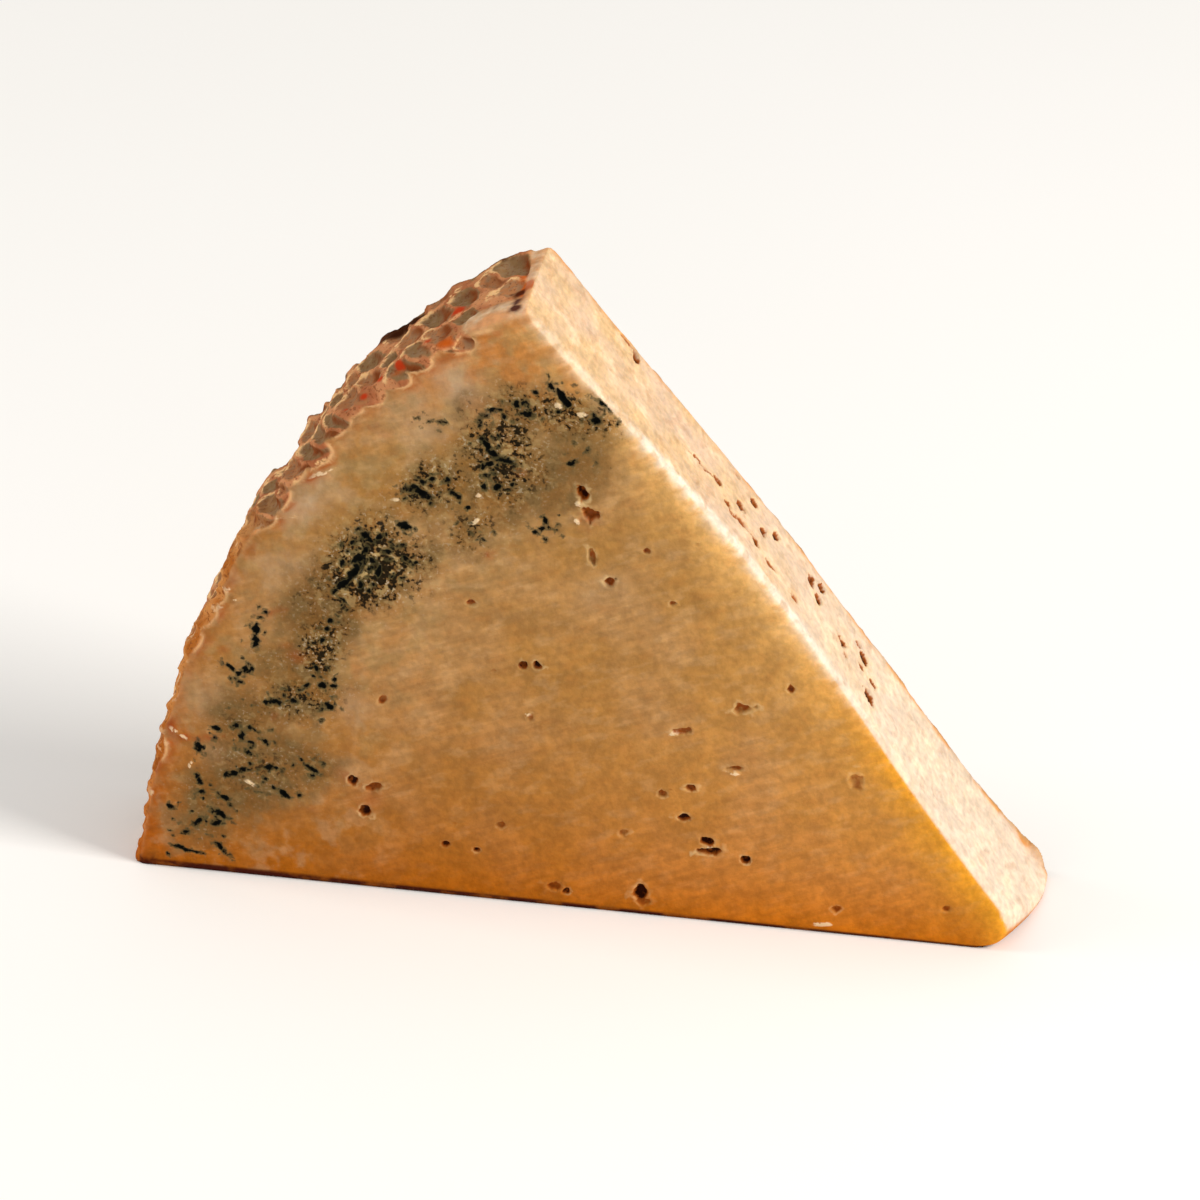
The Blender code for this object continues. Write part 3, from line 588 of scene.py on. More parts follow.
def fewer_triangles(block):
    """Collapses triangles where the surface carries no fine marks."""
    mesh = block.data
    kept = np.empty(len(mesh.vertices), dtype=np.float32)
    mesh.attributes["kept"].data.foreach_get("value", kept)
    plain = block.vertex_groups.new(name="plain")
    plain.add([int(k) for k in np.nonzero(kept < 0.5)[0]], 1.0, "REPLACE")
    fewer = block.modifiers.new("fewer", "DECIMATE")
    fewer.vertex_group = "plain"
    fewer.vertex_group_factor = 1.0
    fewer.ratio = min(1.0, MOST_TRIANGLES / (len(mesh.polygons) * 2))


class Surface:
    """Points of the wedge's mesh with their place on the wheel and the faces that they belong to."""

    def __init__(self, mesh):
        self.count = len(mesh.vertices)
        flat = np.empty(self.count * 3, dtype=np.float32)
        mesh.vertices.foreach_get("co", flat)
        self.points = flat.reshape(self.count, 3).astype(float)
        mesh.vertex_normals.foreach_get("vector", flat)
        self.normals = flat.reshape(self.count, 3).astype(float)
        self.from_axis = WHEEL_AXIS_X - self.points[:, 0]
        self.height = self.points[:, 2].copy()
        self.radius = np.hypot(self.from_axis, self.height)
        self.angle = np.arctan2(self.height, self.from_axis)
        self.depth = self.points[:, 1] - FRONT_Y
        self.along = self.radius * self.angle
        outward = np.stack([-np.cos(self.angle), np.zeros(self.count), np.sin(self.angle)], axis=1)
        facing_out = np.sum(self.normals * outward, axis=1)
        self.on_rind = rising(facing_out, *RIND_FACING) * rising(self.radius, *RIND_RADII)
        self.on_flat_rind = rising(self.normals[:, 1], *RIND_FACING)
        self.on_front = rising(-self.normals[:, 1], *CUT_FACING)
        upward = self.normals[:, 0] * math.sin(WEDGE_ANGLE) + self.normals[:, 2] * math.cos(WEDGE_ANGLE)
        self.on_upper = rising(upward, *CUT_FACING) * (1.0 - self.on_rind)
        self.away_from_base = rising(self.height, *ABOVE_BASE)
        depth = np.clip(self.depth, 0.0, SLAB_THICKNESS)
        self.below_upper = self.radius * np.sin(WEDGE_ANGLE - self.angle) + upper_lift(self.radius, depth)
        self.within_rind = rind_radius(self.angle) - rind_hollow(self.angle, depth) - self.radius
        near_front = falling(self.depth, *FRONT_RIM_DEPTHS)
        self.across = self.depth - np.maximum(self.within_rind, 0.0) * near_front

    def waves(self, name):
        """One of the noises, from about -1 to 1 at each point."""
        length, offset = NOISES[name]
        placed = self.points / length + np.array((offset, 2.0 * offset, 3.0 * offset))
        return np.array([noise.noise(Vector(point)) for point in placed])


def cells(along, across):
    """The rind's cells at each point.

    How deep they are, the reach from the nearest cell's middle in its half-sizes, how much further the second
    nearest is, the nearest cell's shade, and where the point lies from its middle along and across the rind.
    """
    draw = random.Random(RELIEF_SEED)
    tint = random.Random(RELIEF_SEED + 1)
    across = across + ROW_SLANT * (ROW_SLANT_HIGH - np.maximum(along, ROW_SLANT_LOW))
    sunk = np.zeros_like(along)
    nearest = np.full_like(along, 9.0)
    second = np.full_like(along, 9.0)
    shade = np.zeros_like(along)
    side = np.zeros_like(along)
    behind = np.zeros_like(along)
    count = int(WHEEL_RADIUS * WEDGE_ANGLE / CELL_PITCH) + 1
    rows = zip(CELL_ROWS, CELL_ROW_DEPTHS, CELL_HALF_WIDTHS, CELL_ROW_SHARES)
    for row, (row_place, row_sunk, half_width, share) in enumerate(rows):
        for k in range(count):
            middle = (k + 0.5 * (row % 2)) * CELL_PITCH + draw.uniform(-CELL_JITTER, CELL_JITTER)
            level = row_place + draw.uniform(-CELL_JITTER, CELL_JITTER)
            deep = row_sunk * draw.uniform(CELL_SMALLEST, CELL_LARGEST)
            size = draw.uniform(CELL_SMALLEST, CELL_LARGEST)
            if draw.random() > share:
                continue
            lean = CELL_LEAN * (np.maximum(across, CELL_LEAN_START) - max(level, CELL_LEAN_START))
            off_middle = (along - middle + lean) / (size * CELL_HALF_LENGTH)
            off_row = (across - level) / (size * half_width)
            far = off_middle ** 2 + off_row ** 2
            sunk = np.maximum(sunk, deep * np.exp(-(far ** 2)))
            reach = np.sqrt(far)
            closer = reach < nearest
            second = np.where(closer, nearest, np.minimum(second, reach))
            nearest = np.minimum(nearest, reach)
            shade = np.where(closer, tint.uniform(0.0, 1.0), shade)
            side = np.where(closer, off_middle, side)
            behind = np.where(closer, off_row, behind)
    return sunk, nearest, second - nearest, shade, side, behind


def lobes(along):
    """How far the round lobes of the rind's border reach onto the front cut."""
    reach = np.zeros_like(along)
    for middle, half_length, far in LOBES_MM:
        off_middle = (along - middle * MM) / (half_length * MM)
        reach = np.maximum(reach, far * MM * np.clip(1.0 - off_middle ** 2, 0.0, 1.0) ** 0.8)
    return reach


def rind_spots(surface, spots, rough):
    """How much each point belongs to small spots that are placed on the round rind."""
    total = np.zeros(surface.count)
    for along, depth, size, strength in spots:
        long = 0.5 * size * MM
        wide = long * (1.0 + SPOT_WIDENING * depth)
        far = ((surface.along - along * MM) / long) ** 2 + ((surface.across - depth * MM) / wide) ** 2
        total = np.maximum(total, strength * np.exp(-MARK_FALLOFF * np.maximum(far * (1.0 + rough), 0.0)))
    return total


def front_spot(surface, from_axis, height, length, width, tilt):
    """Squared distance of each point from a spot of the front cut, in units of the spot's half-sizes."""
    right = (from_axis * MM) - surface.from_axis
    up = surface.height - height * MM
    turn = math.radians(tilt)
    u = (right * math.cos(turn) + up * math.sin(turn)) / (0.5 * length * MM)
    v = (up * math.cos(turn) - right * math.sin(turn)) / (0.5 * width * MM)
    return u * u + v * v


def upper_spot(surface, from_axis, depth, length, width):
    """Squared distance of each point from a spot of the upper cut, in units of the spot's half-sizes."""
    u = (surface.radius - from_axis * MM) / (0.5 * length * MM)
    v = (surface.depth - depth * MM) / (0.5 * width * MM)
    return u * u + v * v


def mould_marks():
    """The dark marks of mould, each with small spots strewn round it."""
    marks = list(MOULD_MARKS_MM)
    draw = random.Random(MOULD_SEED)
    for from_axis, height, length, width, tilt, strength in MOULD_MARKS_MM:
        for _ in range(MOULD_SPOTS_EACH):
            turn = draw.uniform(0.0, 2.0 * math.pi)
            away = 0.5 * length + draw.uniform(*SPOT_AWAY_MM)
            size = draw.uniform(*SPOT_SIZE_MM)
            place_at = (from_axis + away * math.cos(turn), height + away * math.sin(turn))
            tilted = draw.uniform(-90.0, 90.0)
            dark = strength * draw.uniform(*SPOT_STRENGTH)
            marks.append((*place_at, size * SPOT_LENGTHENED, size, tilted, dark))
    return marks


def add_pit(marks, far, deep, darkness):
    """Sinks a round-bottomed pit with a slightly raised rim where the squared distance is under 1."""
    reach = np.sqrt(far)
    bowl = np.sqrt(np.clip(1.0 - far, 0.0, 1.0))
    marks["sink"] = np.maximum(marks["sink"], deep * MM * bowl)
    marks["rim"] = np.maximum(marks["rim"], hill(reach - PIT_RIM, PIT_RIM_HALF_WIDTH) * min(1.0, deep))
    marks["eye"] = np.maximum(marks["eye"], darkness * falling(reach, PIT_RIM, PIT_EASE))


def rim_shadows(surface, rough):
    """How much each point belongs to the near black stretches of painted shadow on the rind's back rim."""
    total = np.zeros(surface.count)
    for along, half_length, depth in RIM_SHADOWS_MM:
        inside = np.exp(-(((surface.along - along * MM) / (half_length * MM)) ** 4))
        behind = smooth_step((surface.depth - depth * MM) / RIM_SHADOW_EASE + RIM_SHADOW_ROUGHNESS * rough)
        total = np.maximum(total, inside * behind)
    return total * surface.on_rind


def eyes_and_marks(surface):
    """The eyes, pinholes and mould: how deep they sink, and the masks that colour them."""
    names = ("sink", "rim", "eye", "speck", "mould", "grain", "bloom", "pale", "rust")
    marks = {name: np.zeros(surface.count) for name in names}
    wobble = np.maximum(surface.waves("wobble") + 0.6 * surface.waves("wobble_fine"), MOST_INWARD)
    drift = surface.waves("drift") + 0.6 * surface.waves("drift_fine")
    ragged = np.maximum(surface.waves("ragged") + 0.8 * surface.waves("ragged_fine"), MOST_INWARD)
    front = np.where(surface.on_front > ON_FACE, 0.0, ELSEWHERE)
    upper = np.where(surface.on_upper > ON_FACE, 0.0, ELSEWHERE)
    for *spot, deep, dark in FRONT_EYES_MM:
        far = front_spot(surface, *spot, EYE_TILT) * (1.0 + wobble)
        add_pit(marks, np.maximum(far, 0.0) + front, deep, dark)
    for *spot, deep, dark in UPPER_EYES_MM:
        far = upper_spot(surface, *spot) * (1.0 + wobble)
        add_pit(marks, np.maximum(far, 0.0) + upper, deep, dark)
    draw = random.Random(PINHOLE_SEED)
    for _ in range(PINHOLES):
        from_axis = draw.uniform(*PINHOLE_FROM_AXIS_MM)
        height = draw.uniform(*PINHOLE_HEIGHT_MM)
        size = draw.uniform(*PINHOLE_SIZE_MM)
        dark = draw.uniform(*PINHOLE_DARKNESS)
        if draw.random() < PINHOLES_IN_FRONT:
            far = front_spot(surface, from_axis, height, size * PINHOLE_LENGTHENED, size, 0.0) + front
        else:
            depth = height * PINHOLE_DEPTH_PER_HEIGHT + PINHOLE_LEAST_DEPTH_MM
            far = upper_spot(surface, from_axis, depth, size * PINHOLE_LENGTHENED, size) + upper
        add_pit(marks, far, PINHOLE_DEPTH_SHARE * size, dark)
    for from_axis, height, long, wide, tilt, share, grain in MOULD_CLOUDS_MM:
        far = front_spot(surface, from_axis, height, CLOUD_SPREAD * long, CLOUD_SPREAD * wide, tilt)
        near = np.exp(-CLOUD_FALLOFF * np.maximum(far * (1.0 + CLOUD_DRIFT * drift), 0.0))
        marks["mould"] = 1.0 - (1.0 - marks["mould"]) * (1.0 - share * near)
        marks["grain"] = np.maximum(marks["grain"], grain * near)
    for from_axis, height, long, wide, tilt, share in BLOOM_MM:
        near = np.exp(-CLOUD_FALLOFF * front_spot(surface, from_axis, height, 2.0 * long, 2.0 * wide, tilt))
        marks["bloom"] = np.maximum(marks["bloom"], share * near)
    for from_axis, height, length, width, tilt, strength in mould_marks():
        far = front_spot(surface, from_axis, height, length, width, tilt) * (1.0 + ragged)
        far = np.maximum(far, 0.0) + front
        marks["speck"] = np.maximum(marks["speck"], strength * np.exp(-MOULD_FALLOFF * far))
        deep = MOULD_DEPTH_SHARE * strength * width * MM
        marks["sink"] = np.maximum(marks["sink"], deep * np.clip(1.0 - far, 0.0, 1.0))
        halo = front_spot(surface, from_axis, height, length + HALO_MM, width + HALO_MM, tilt)
        marks["mould"] = np.maximum(marks["mould"], HALO_SHARE * strength * np.exp(-CLOUD_FALLOFF * halo))
    pale = [("pale", *mark, 1.0) for mark in CREAM_RIDGES_AND_GLINTS_MM]
    rust = [("rust", *mark) for mark in RUST_MARKS_MM]
    for name, *spot, strength in pale + rust:
        far = front_spot(surface, *spot) * (1.0 + ragged)
        near = np.exp(-MARK_FALLOFF * np.maximum(far, 0.0))
        marks[name] = np.maximum(marks[name], strength * near)
    return marks


class RindBorder:
    """How much each point is round rind or bare paste, and where it lies by their border on the front cut."""

    def __init__(self, surface, ripple):
        lobe = lobes(surface.along)
        border = BORDER_REACH + BORDER_TATTER * surface.waves("tatter") + BORDER_RIPPLE * ripple + lobe
        self.beyond = surface.within_rind - border
        self.lobed = rising(lobe, *LOBED_FROM)
        wrapped = falling(self.beyond, *WRAPPED_WITHIN)
        rind = np.maximum(surface.on_rind, wrapped * surface.on_front * (1.0 - surface.on_flat_rind))
        rind *= 1.0 - rising(surface.on_upper, *UPPER_BEYOND_RIND)
        bare = rising(surface.along, *BARE_LENGTHS) * falling(surface.depth, *BARE_DEPTHS)
        corner = CORNER_BARE_FRONT + (CORNER_BARE_BACK - CORNER_BARE_FRONT) * surface.depth / SLAB_THICKNESS
        self.bare = np.maximum(bare, falling(surface.below_upper, corner, CORNER_EASE))
        self.rind = rind * (1.0 - self.bare)


def relief(surface, rind, sunk, high, marks):
    """How far each point moves out along its normal."""
    crust = CRUST_WAVES[0] * surface.waves("crust") + CRUST_WAVES[1] * surface.waves("crust_fine")
    swell = RIND_WAVE * surface.waves("swell")
    strength = LOW_RIND_RELIEF + (1.0 - LOW_RIND_RELIEF) * high
    move = rind * (swell - sunk * strength + crust + RIND_LIFT)
    hub = HUB_SWELL * hill(surface.radius, HUB_RADIUS)
    fine = FLAT_RIND_FINE_WAVE * surface.waves("flat_fine") + crust
    move += surface.on_flat_rind * (hub + FLAT_RIND_WAVE * surface.waves("flat_swell") + fine)
    on_cut = 1.0 - np.maximum(rind, surface.on_flat_rind)
    fine = CUT_FINE_WAVES[0] * surface.waves("cut_fine") + CUT_FINE_WAVES[1] * surface.waves("cut_middle")
    move += on_cut * (CUT_WAVE * surface.waves("cut_swell") + fine)
    crumbs = CRUMB_WAVES[0] * surface.waves("crumbs") + CRUMB_WAVES[1] * surface.waves("crumbs_fine")
    in_front = surface.on_front * (marks["grain"] * crumbs + CREAM_RIDGE_AND_GLINT_HEIGHT * marks["pale"])
    move += on_cut * (EYE_RIM_HEIGHT * marks["rim"] - marks["sink"] + in_front)
    return move * surface.away_from_base


def add_relief(mesh):
    """Moves the mesh's points along their normals and stores the masks for the material."""
    surface = Surface(mesh)
    ripple = surface.waves("ripple")
    bent_along = surface.along + CELL_BEND * surface.waves("bend_along")
    bent_across = surface.across + 2.0 * CELL_BEND * surface.waves("bend_across")
    sunk, nearest, gap, shade, side, behind = cells(bent_along, bent_across)
    high = np.maximum(rising(surface.angle, *HIGH_ANGLES), rising(surface.depth, *BEHIND_LOW_RIM))
    border = RindBorder(surface, ripple)
    ridge = np.exp(-((gap * 0.5 * CELL_HALF_LENGTH / RIDGE_HALF_WIDTH) ** 2) * (1.0 + 0.5 * ripple))
    marks = eyes_and_marks(surface)
    move = relief(surface, border.rind, sunk, high, marks)
    points = surface.points + surface.normals * move[:, None]
    points[points[:, 2] < BASE_BAND, 2] = 0.0
    mesh.vertices.foreach_set("co", points.astype(np.float32).ravel())
    front = surface.on_front
    off_upper = 1.0 - surface.on_upper
    # painted highlight along the rounded edge between the two cuts
    edge_highlight = hill(surface.below_upper, EDGE_HIGHLIGHT_HALF_WIDTH) * falling(surface.depth, *EDGE_HIGHLIGHT_DEPTHS)
    edge_highlight *= rising(surface.radius, *EDGE_HIGHLIGHT_RADII)
    edge_highlight *= 1.0 - EDGE_HIGHLIGHT_FAINTER * rising(surface.radius, *EDGE_HIGHLIGHT_FAINT_RADII)
    lip = hill(border.beyond, LIP_HALF_WIDTH) * front
    lip_shadow = hill(border.beyond - LIP_SHADOW_FROM, LIP_SHADOW_HALF_WIDTH) * front
    masks = {
        "rind": border.rind,
        "bare": border.bare * surface.on_rind,
        "flat_rind": surface.on_flat_rind,
        "upper": surface.on_upper,
        "high": high,
        "ridge": np.clip(np.maximum(ridge, 0.8 * rising(nearest, *BETWEEN_CELLS)), 0.0, 1.0),
        "shade": shade,
        # painted shade on one side of each cell's hollow
        "painted_hollow_shade": rising(side - 0.6 * behind, *SHADED_HOLLOW_SIDES) * falling(nearest, *SHADED_HOLLOW_REACH),
        # painted highlight on the lit arc of each cell's ridge
        "arc": rising(behind, *HIGHLIGHT_ARC_BEHIND) * falling(side, *HIGHLIGHT_ARC_SIDES),
        "red": rind_spots(surface, RED_SPOTS_MM, ripple),
        "dark_spot": rind_spots(surface, DARK_SPOTS_MM, ripple) * off_upper,
        "orange": rind_spots(surface, ORANGE_SPOTS_MM, ripple) * off_upper,
        "rim_shadow": rim_shadows(surface, ripple),
        # cream line on the lip, partly painted highlight
        "lip": lip * (STRAIGHT_LIP + (1.0 - STRAIGHT_LIP) * border.lobed),
        # painted shadow under the rind's lip
        "lip_shadow": lip_shadow * (STRAIGHT_LIP_SHADOW + (1.0 - STRAIGHT_LIP_SHADOW) * border.lobed),
        "low": np.exp(-surface.height / LOW_FADE),
        # painted contact shadow along the base
        "contact_shadow": falling(surface.height, CONTACT_SHADOW_HEIGHT + CONTACT_SHADOW_RISE * surface.from_axis, CONTACT_SHADOW_EASE)
        * (surface.depth < CONTACT_SHADOW_DEPTH),
        "edge": np.exp(-np.clip(surface.below_upper - EDGE_FROM, 0.0, 1.0) / EDGE_FADE)
        * falling(surface.depth, *EDGE_DEPTHS),
        "edge_highlight": edge_highlight,
        "bark": np.exp(-np.clip(surface.within_rind - BARK_FROM, 0.0, 1.0) / BARK_FADE) * front,
        "eye": marks["eye"],
        # painted highlight round the rim of each pit
        "eye_rim_highlight": marks["rim"] * (1.0 - marks["eye"]),
    }
    for name, measure, start, over in PARTS:
        masks[name] = rising(getattr(surface, measure), start, over)
    masks["top"] *= front
    for name in ("speck", "mould", "grain", "bloom", "pale", "rust"):
        masks[name] = marks[name] * front
    fine = {"grain": masks["grain"], "speck": marks["speck"], "rim": marks["rim"], "eye": marks["eye"],
            "pale": masks["pale"], "lip": masks["lip"]}
    kept = border.rind * (surface.depth < KEPT_RIND_DEPTH) * (surface.angle > KEPT_RIND_ANGLE)
    for name, weight in KEPT_WEIGHTS.items():
        kept = np.maximum(kept, weight * fine[name])
    masks["kept"] = (kept > KEPT_FROM).astype(float)
    for name, values in masks.items():
        layer = mesh.attributes.new(name, "FLOAT", "POINT")
        layer.data.foreach_set("value", values.astype(np.float32))
    mesh.update()


def linear(red, green, blue):
    """A display colour from 0 to 255 as a linear colour."""
    def channel(value):
        value /= 255.0
        return value / 12.92 if value <= 0.04045 else ((value + 0.055) / 1.055) ** 2.4
    return (channel(red), channel(green), channel(blue), 1.0)


class Paint:
    """Short ways to build a material's nodes."""

    def __init__(self, name):
        self.material = bpy.data.materials.new(name)
        self.material.use_nodes = True
        self.tree = self.material.node_tree
        self.shader = self.tree.nodes["Principled BSDF"]
        self.place = self.tree.nodes.new("ShaderNodeTexCoord").outputs["Object"]

    def put(self, inputs, values):
        """Sets inputs to a node's output, to a mask by its name, to a display colour or to a number."""
        for name, value in values.items():
            if isinstance(value, str):
                value = self.node("Attribute", {}, attribute_name=value)["Fac"]
            if isinstance(value, bpy.types.NodeSocket):
                self.tree.links.new(value, inputs[name])
            else:
                inputs[name].default_value = linear(*value) if isinstance(value, tuple) else value

    def node(self, kind, values, **settings):
        """The outputs of a new node with these settings and inputs."""
        node = self.tree.nodes.new("ShaderNode" + kind)
        for name, value in settings.items():
            setattr(node, name, value)
        self.put(node.inputs, values)
        return node.outputs

    def maths(self, operation, a, b):
        return self.node("Math", {0: a, 1: b}, operation=operation)[0]

    def add(self, a, b):
        return self.maths("ADD", a, b)

    def times(self, a, b):
        return self.maths("MULTIPLY", a, b)

    def larger(self, a, b):
        return self.maths("MAXIMUM", a, b)

    def rest(self, share):
        return self.maths("SUBTRACT", 1.0, share)

    def swing(self, value, size):
        """Noise round its middle value, so many times as strong."""
        return self.times(self.maths("SUBTRACT", value, 0.5), size)

    def noise(self, size, detail=3.0, rough=0.5, stretch=(1.0, 1.0, 1.0), offset=0.0, tilt=0.0):
        """Noise from 0 to 1 whose swells are about one size (metres) apart."""
        turn = Vector((0.0, tilt, 0.0))
        inputs = {"Vector": self.place, "Scale": Vector(stretch), "Rotation": turn, "Location": Vector([offset] * 3)}
        place_at = self.node("Mapping", inputs, vector_type="TEXTURE")[0]
        inputs = {"Vector": place_at, "Scale": 1.0 / size, "Detail": detail, "Roughness": rough}
        return self.node("TexNoise", inputs)["Fac"]

    def between(self, value, low, high, to_low=0.0, to_high=1.0):
        """The value eased from low to high, given as a share or between two results."""
        inputs = {"Value": value, "From Min": low, "From Max": high, "To Min": to_low, "To Max": to_high}
        return self.node("MapRange", inputs, interpolation_type="SMOOTHSTEP")["Result"]

    def mix(self, share, a, b, blend="MIX"):
        return self.node("Mix", {0: share, 6: a, 7: b}, data_type="RGBA", blend_type=blend)[2]

    def shaded(self, colour, value, *limits):
        """The colour made darker and lighter by a value between limits."""
        return self.mix(1.0, colour, self.between(value, *limits), blend="MULTIPLY")

    def layers(self, colour, rows):
        """Lays colours over a colour: where each lies, how much by a value between limits, and the colour."""
        for where, value, limits, over in rows:
            colour = self.mix(self.times(where, self.between(value, *limits)), colour, over)
        return colour

    def bump(self, height, strength, normal):
        inputs = {"Height": height, "Strength": strength, "Distance": BUMP_HEIGHT, **normal}
        return self.node("Bump", inputs)["Normal"]


def paste_colour(p, broad, middle, fine, drag):
    """The two cut faces: ochre in front, paler above. The front's darker ochre is partly painted shade and the upper
    cut's paler cream partly painted light; the front is also painted lighter towards the tip.
    """
    small = p.noise(0.0018, detail=4.0, stretch=(2.2, 1.5, 1.0), offset=5.0, tilt=DRAG_TILT)
    blotches = p.noise(0.0036, detail=4.0, offset=17.0)
    # painted light: the front cut is painted lighter towards the tip
    front = p.mix("near_tip", (176, 128, 64), (206, 154, 82))
    front = p.mix(p.between(broad, 0.40, 0.62, 0.0, 0.45), front, (196, 152, 102))
    front = p.mix("low", front, p.mix("near_tip", (174, 94, 6), (198, 110, 8)))
    front = p.mix(p.times("top", 0.8), front, (196, 124, 54))
    front = p.layers(front, (
        ("bark", "low", (0.1, 0.6, 0.35, 1.0), (178, 88, 8)),
        ("old", middle, (0.5, 0.62, 0.0, 0.35), (186, 152, 112)),
        (p.times("old", p.rest("low")), blotches, (0.46, 0.62, 0.0, 0.6), (168, 136, 84)),
    ))
    golden = p.mix(p.between("near_tip", 0.3, 0.95), (250, 192, 112), (232, 158, 44))
    edge = p.between(p.add("edge", p.swing(middle, 0.3)), 0.0, 1.0)
    front = p.mix(p.times(edge, p.rest(p.times("top", 0.7))), front, golden)
    upper = p.mix(p.between(broad, 0.38, 0.62), (224, 190, 158), (221, 182, 133))
    upper = p.mix(p.times("near_tip", 0.8), upper, (228, 206, 184))
    upper = p.layers(upper, (
        (1.0, middle, (0.56, 0.68, 0.0, 0.5), (238, 212, 178)),
        ("back_edge", middle, (0.42, 0.56, 0.25, 1.0), (214, 146, 82)),
    ))
    # lit and shaded copies of the paste: the upper cut partly painted light, the front partly painted shade
    paste = p.mix("upper", front, upper)
    bare = p.mix(p.between(middle, 0.42, 0.60), (230, 194, 154), (206, 146, 96))
    paste = p.mix("bare", paste, bare)
    # painted highlight along the rounded edge between the two cuts
    paste = p.layers(paste, (("edge_highlight", small, (0.36, 0.56, 0.4, 0.95), (240, 226, 206)),))
    paste = p.shaded(paste, middle, 0.3, 0.7, 0.90, 1.08)
    paste = p.layers(paste, (
        (p.rest("low"), small, (0.50, 0.68, 0.0, 0.25), (220, 178, 126)),
        (1.0, small, (0.46, 0.34, 0.0, 0.2), (176, 110, 44)),
    ))
    paste = p.mix(p.between(broad, 0.35, 0.6), paste, p.shaded(paste, drag, 0.32, 0.68, 0.93, 1.09))
    return p.shaded(paste, fine, 0.3, 0.7, 0.88, 1.10)


def mould_colour(p, paste, middle, fine, finest):
    """Bloom, clouds, grains with painted glints, and pockets of mould over the front cut, and a mask of how mouldy
    it is.
    """
    soft = p.noise(0.0027, offset=11.0)
    cloud = p.between(p.add("mould", p.swing(middle, 0.8)), 0.08, 0.66)
    rough = p.add(p.swing(fine, -2.4), p.swing(finest, -1.8))
    rot = p.between(p.add(rough, p.times("grain", 0.76)), 0.46, 0.72)
    pale = p.times("pale", p.between(fine, 0.38, 0.58, 0.35, 1.3))
    dark = p.add(p.add("speck", p.swing(fine, 1.1)), p.swing(finest, 0.9))
    dark = p.times(dark, p.between("speck", 0.02, 0.15))
    paste = p.layers(paste, (("bloom", middle, (0.35, 0.6, 0.35, 0.9), (204, 172, 136)),))
    paste = p.mix(p.times(cloud, 0.88), paste, (124, 88, 46))
    paste = p.layers(paste, (
        (cloud, soft, (0.44, 0.60, 0.0, 0.7), (126, 102, 64)),
        (p.times(cloud, p.between(finest, 0.5, 0.38)), "grain", (0.1, 0.6, 0.15, 0.8), (72, 52, 26)),
        ("grain", fine, (0.55, 0.64), (190, 160, 106)),
        # painted highlights: small glints on the mould's grains
        ("grain", finest, (0.62, 0.68, 0.0, 0.7), (236, 222, 190)),
        (rot, "grain", (0.08, 0.4, 0.0, 0.94), (24, 20, 11)),
        ("rust", fine, (0.3, 0.55, 0.55, 1.0), (158, 70, 20)),
        # cream ridges, with painted highlights of wet glints
        (1.0, pale, (0.25, 0.7, 0.0, 0.85), (244, 214, 172)),
        (1.0, dark, (0.12, 0.42, 0.0, 0.75), (82, 74, 46)),
    ))
    dark = p.between(dark, 0.40, 0.66)
    return p.mix(dark, paste, (10, 11, 8)), p.larger(dark, cloud)


def rind_colour(p, middle, fine, finest):
    """The round rind: thin pale ridges round grey-brown cells, with painted shade on one side of each hollow and a
    painted highlight on each ridge's lit arc, red spots between rows and a painted shadow along the far rim.
    """
    patch = p.noise(0.0022, offset=13.0)
    hollow = p.mix(p.between("shade", 0.3, 0.7), (140, 108, 72), (176, 118, 76))
    hollow = p.layers(hollow, (
        (1.0, fine, (0.42, 0.60, 0.0, 0.6), (152, 122, 92)),
        # painted shade on one side of each cell's hollow
        ("painted_hollow_shade", middle, (0.4, 0.6, 0.6, 1.0), (134, 68, 30)),
    ))
    ridge = p.mix(p.between(middle, 0.4, 0.6), (208, 142, 96), (176, 106, 68))
    # painted highlight on the lit arc of each cell's ridge
    ridge = p.layers(ridge, (("arc", fine, (0.36, 0.5), (242, 192, 134)),))
    rind = p.mix(p.between(p.add("ridge", p.swing(fine, 0.8)), 0.20, 0.80), hollow, ridge)
    low = p.mix(p.between(middle, 0.42, 0.6), (214, 146, 82), (184, 108, 44))
    low = p.layers(low, (
        (1.0, patch, (0.56, 0.66, 0.0, 0.8), (120, 56, 20)),
        (1.0, patch, (0.40, 0.32, 0.0, 0.8), (240, 200, 152)),
    ))
    low = p.mix(p.times("low", 0.9), low, (180, 90, 14))
    return p.layers(p.mix("high", low, rind), (
        (1.0, finest, (0.56, 0.68, 0.0, 0.6), (120, 66, 36)),
        (1.0, "orange", (0.15, 0.6, 0.0, 0.9), (206, 92, 20)),
        (1.0, "red", (0.10, 0.80, 0.0, 0.95), (196, 60, 24)),
        # painted shadow along the back rim
        ("rim_shadow", middle, (0.30, 0.44, 0.6, 1.0), (62, 28, 10)),
        (1.0, "dark_spot", (0.1, 0.6), (84, 34, 12)),
    ))


def flat_rind_colour(p, broad, middle, fine):
    """The wheel's flat rind: brown crust with grey, pale and rust-coloured patches."""
    crust = p.mix(p.between(broad, 0.36, 0.64), (190, 142, 92), (162, 116, 74))
    return p.layers(crust, (
        (1.0, middle, (0.50, 0.66, 0.0, 0.6), (152, 134, 106)),
        (1.0, middle, (0.44, 0.32, 0.0, 0.7), (212, 168, 122)),
        (1.0, fine, (0.54, 0.68, 0.0, 0.7), (120, 78, 44)),
    ))


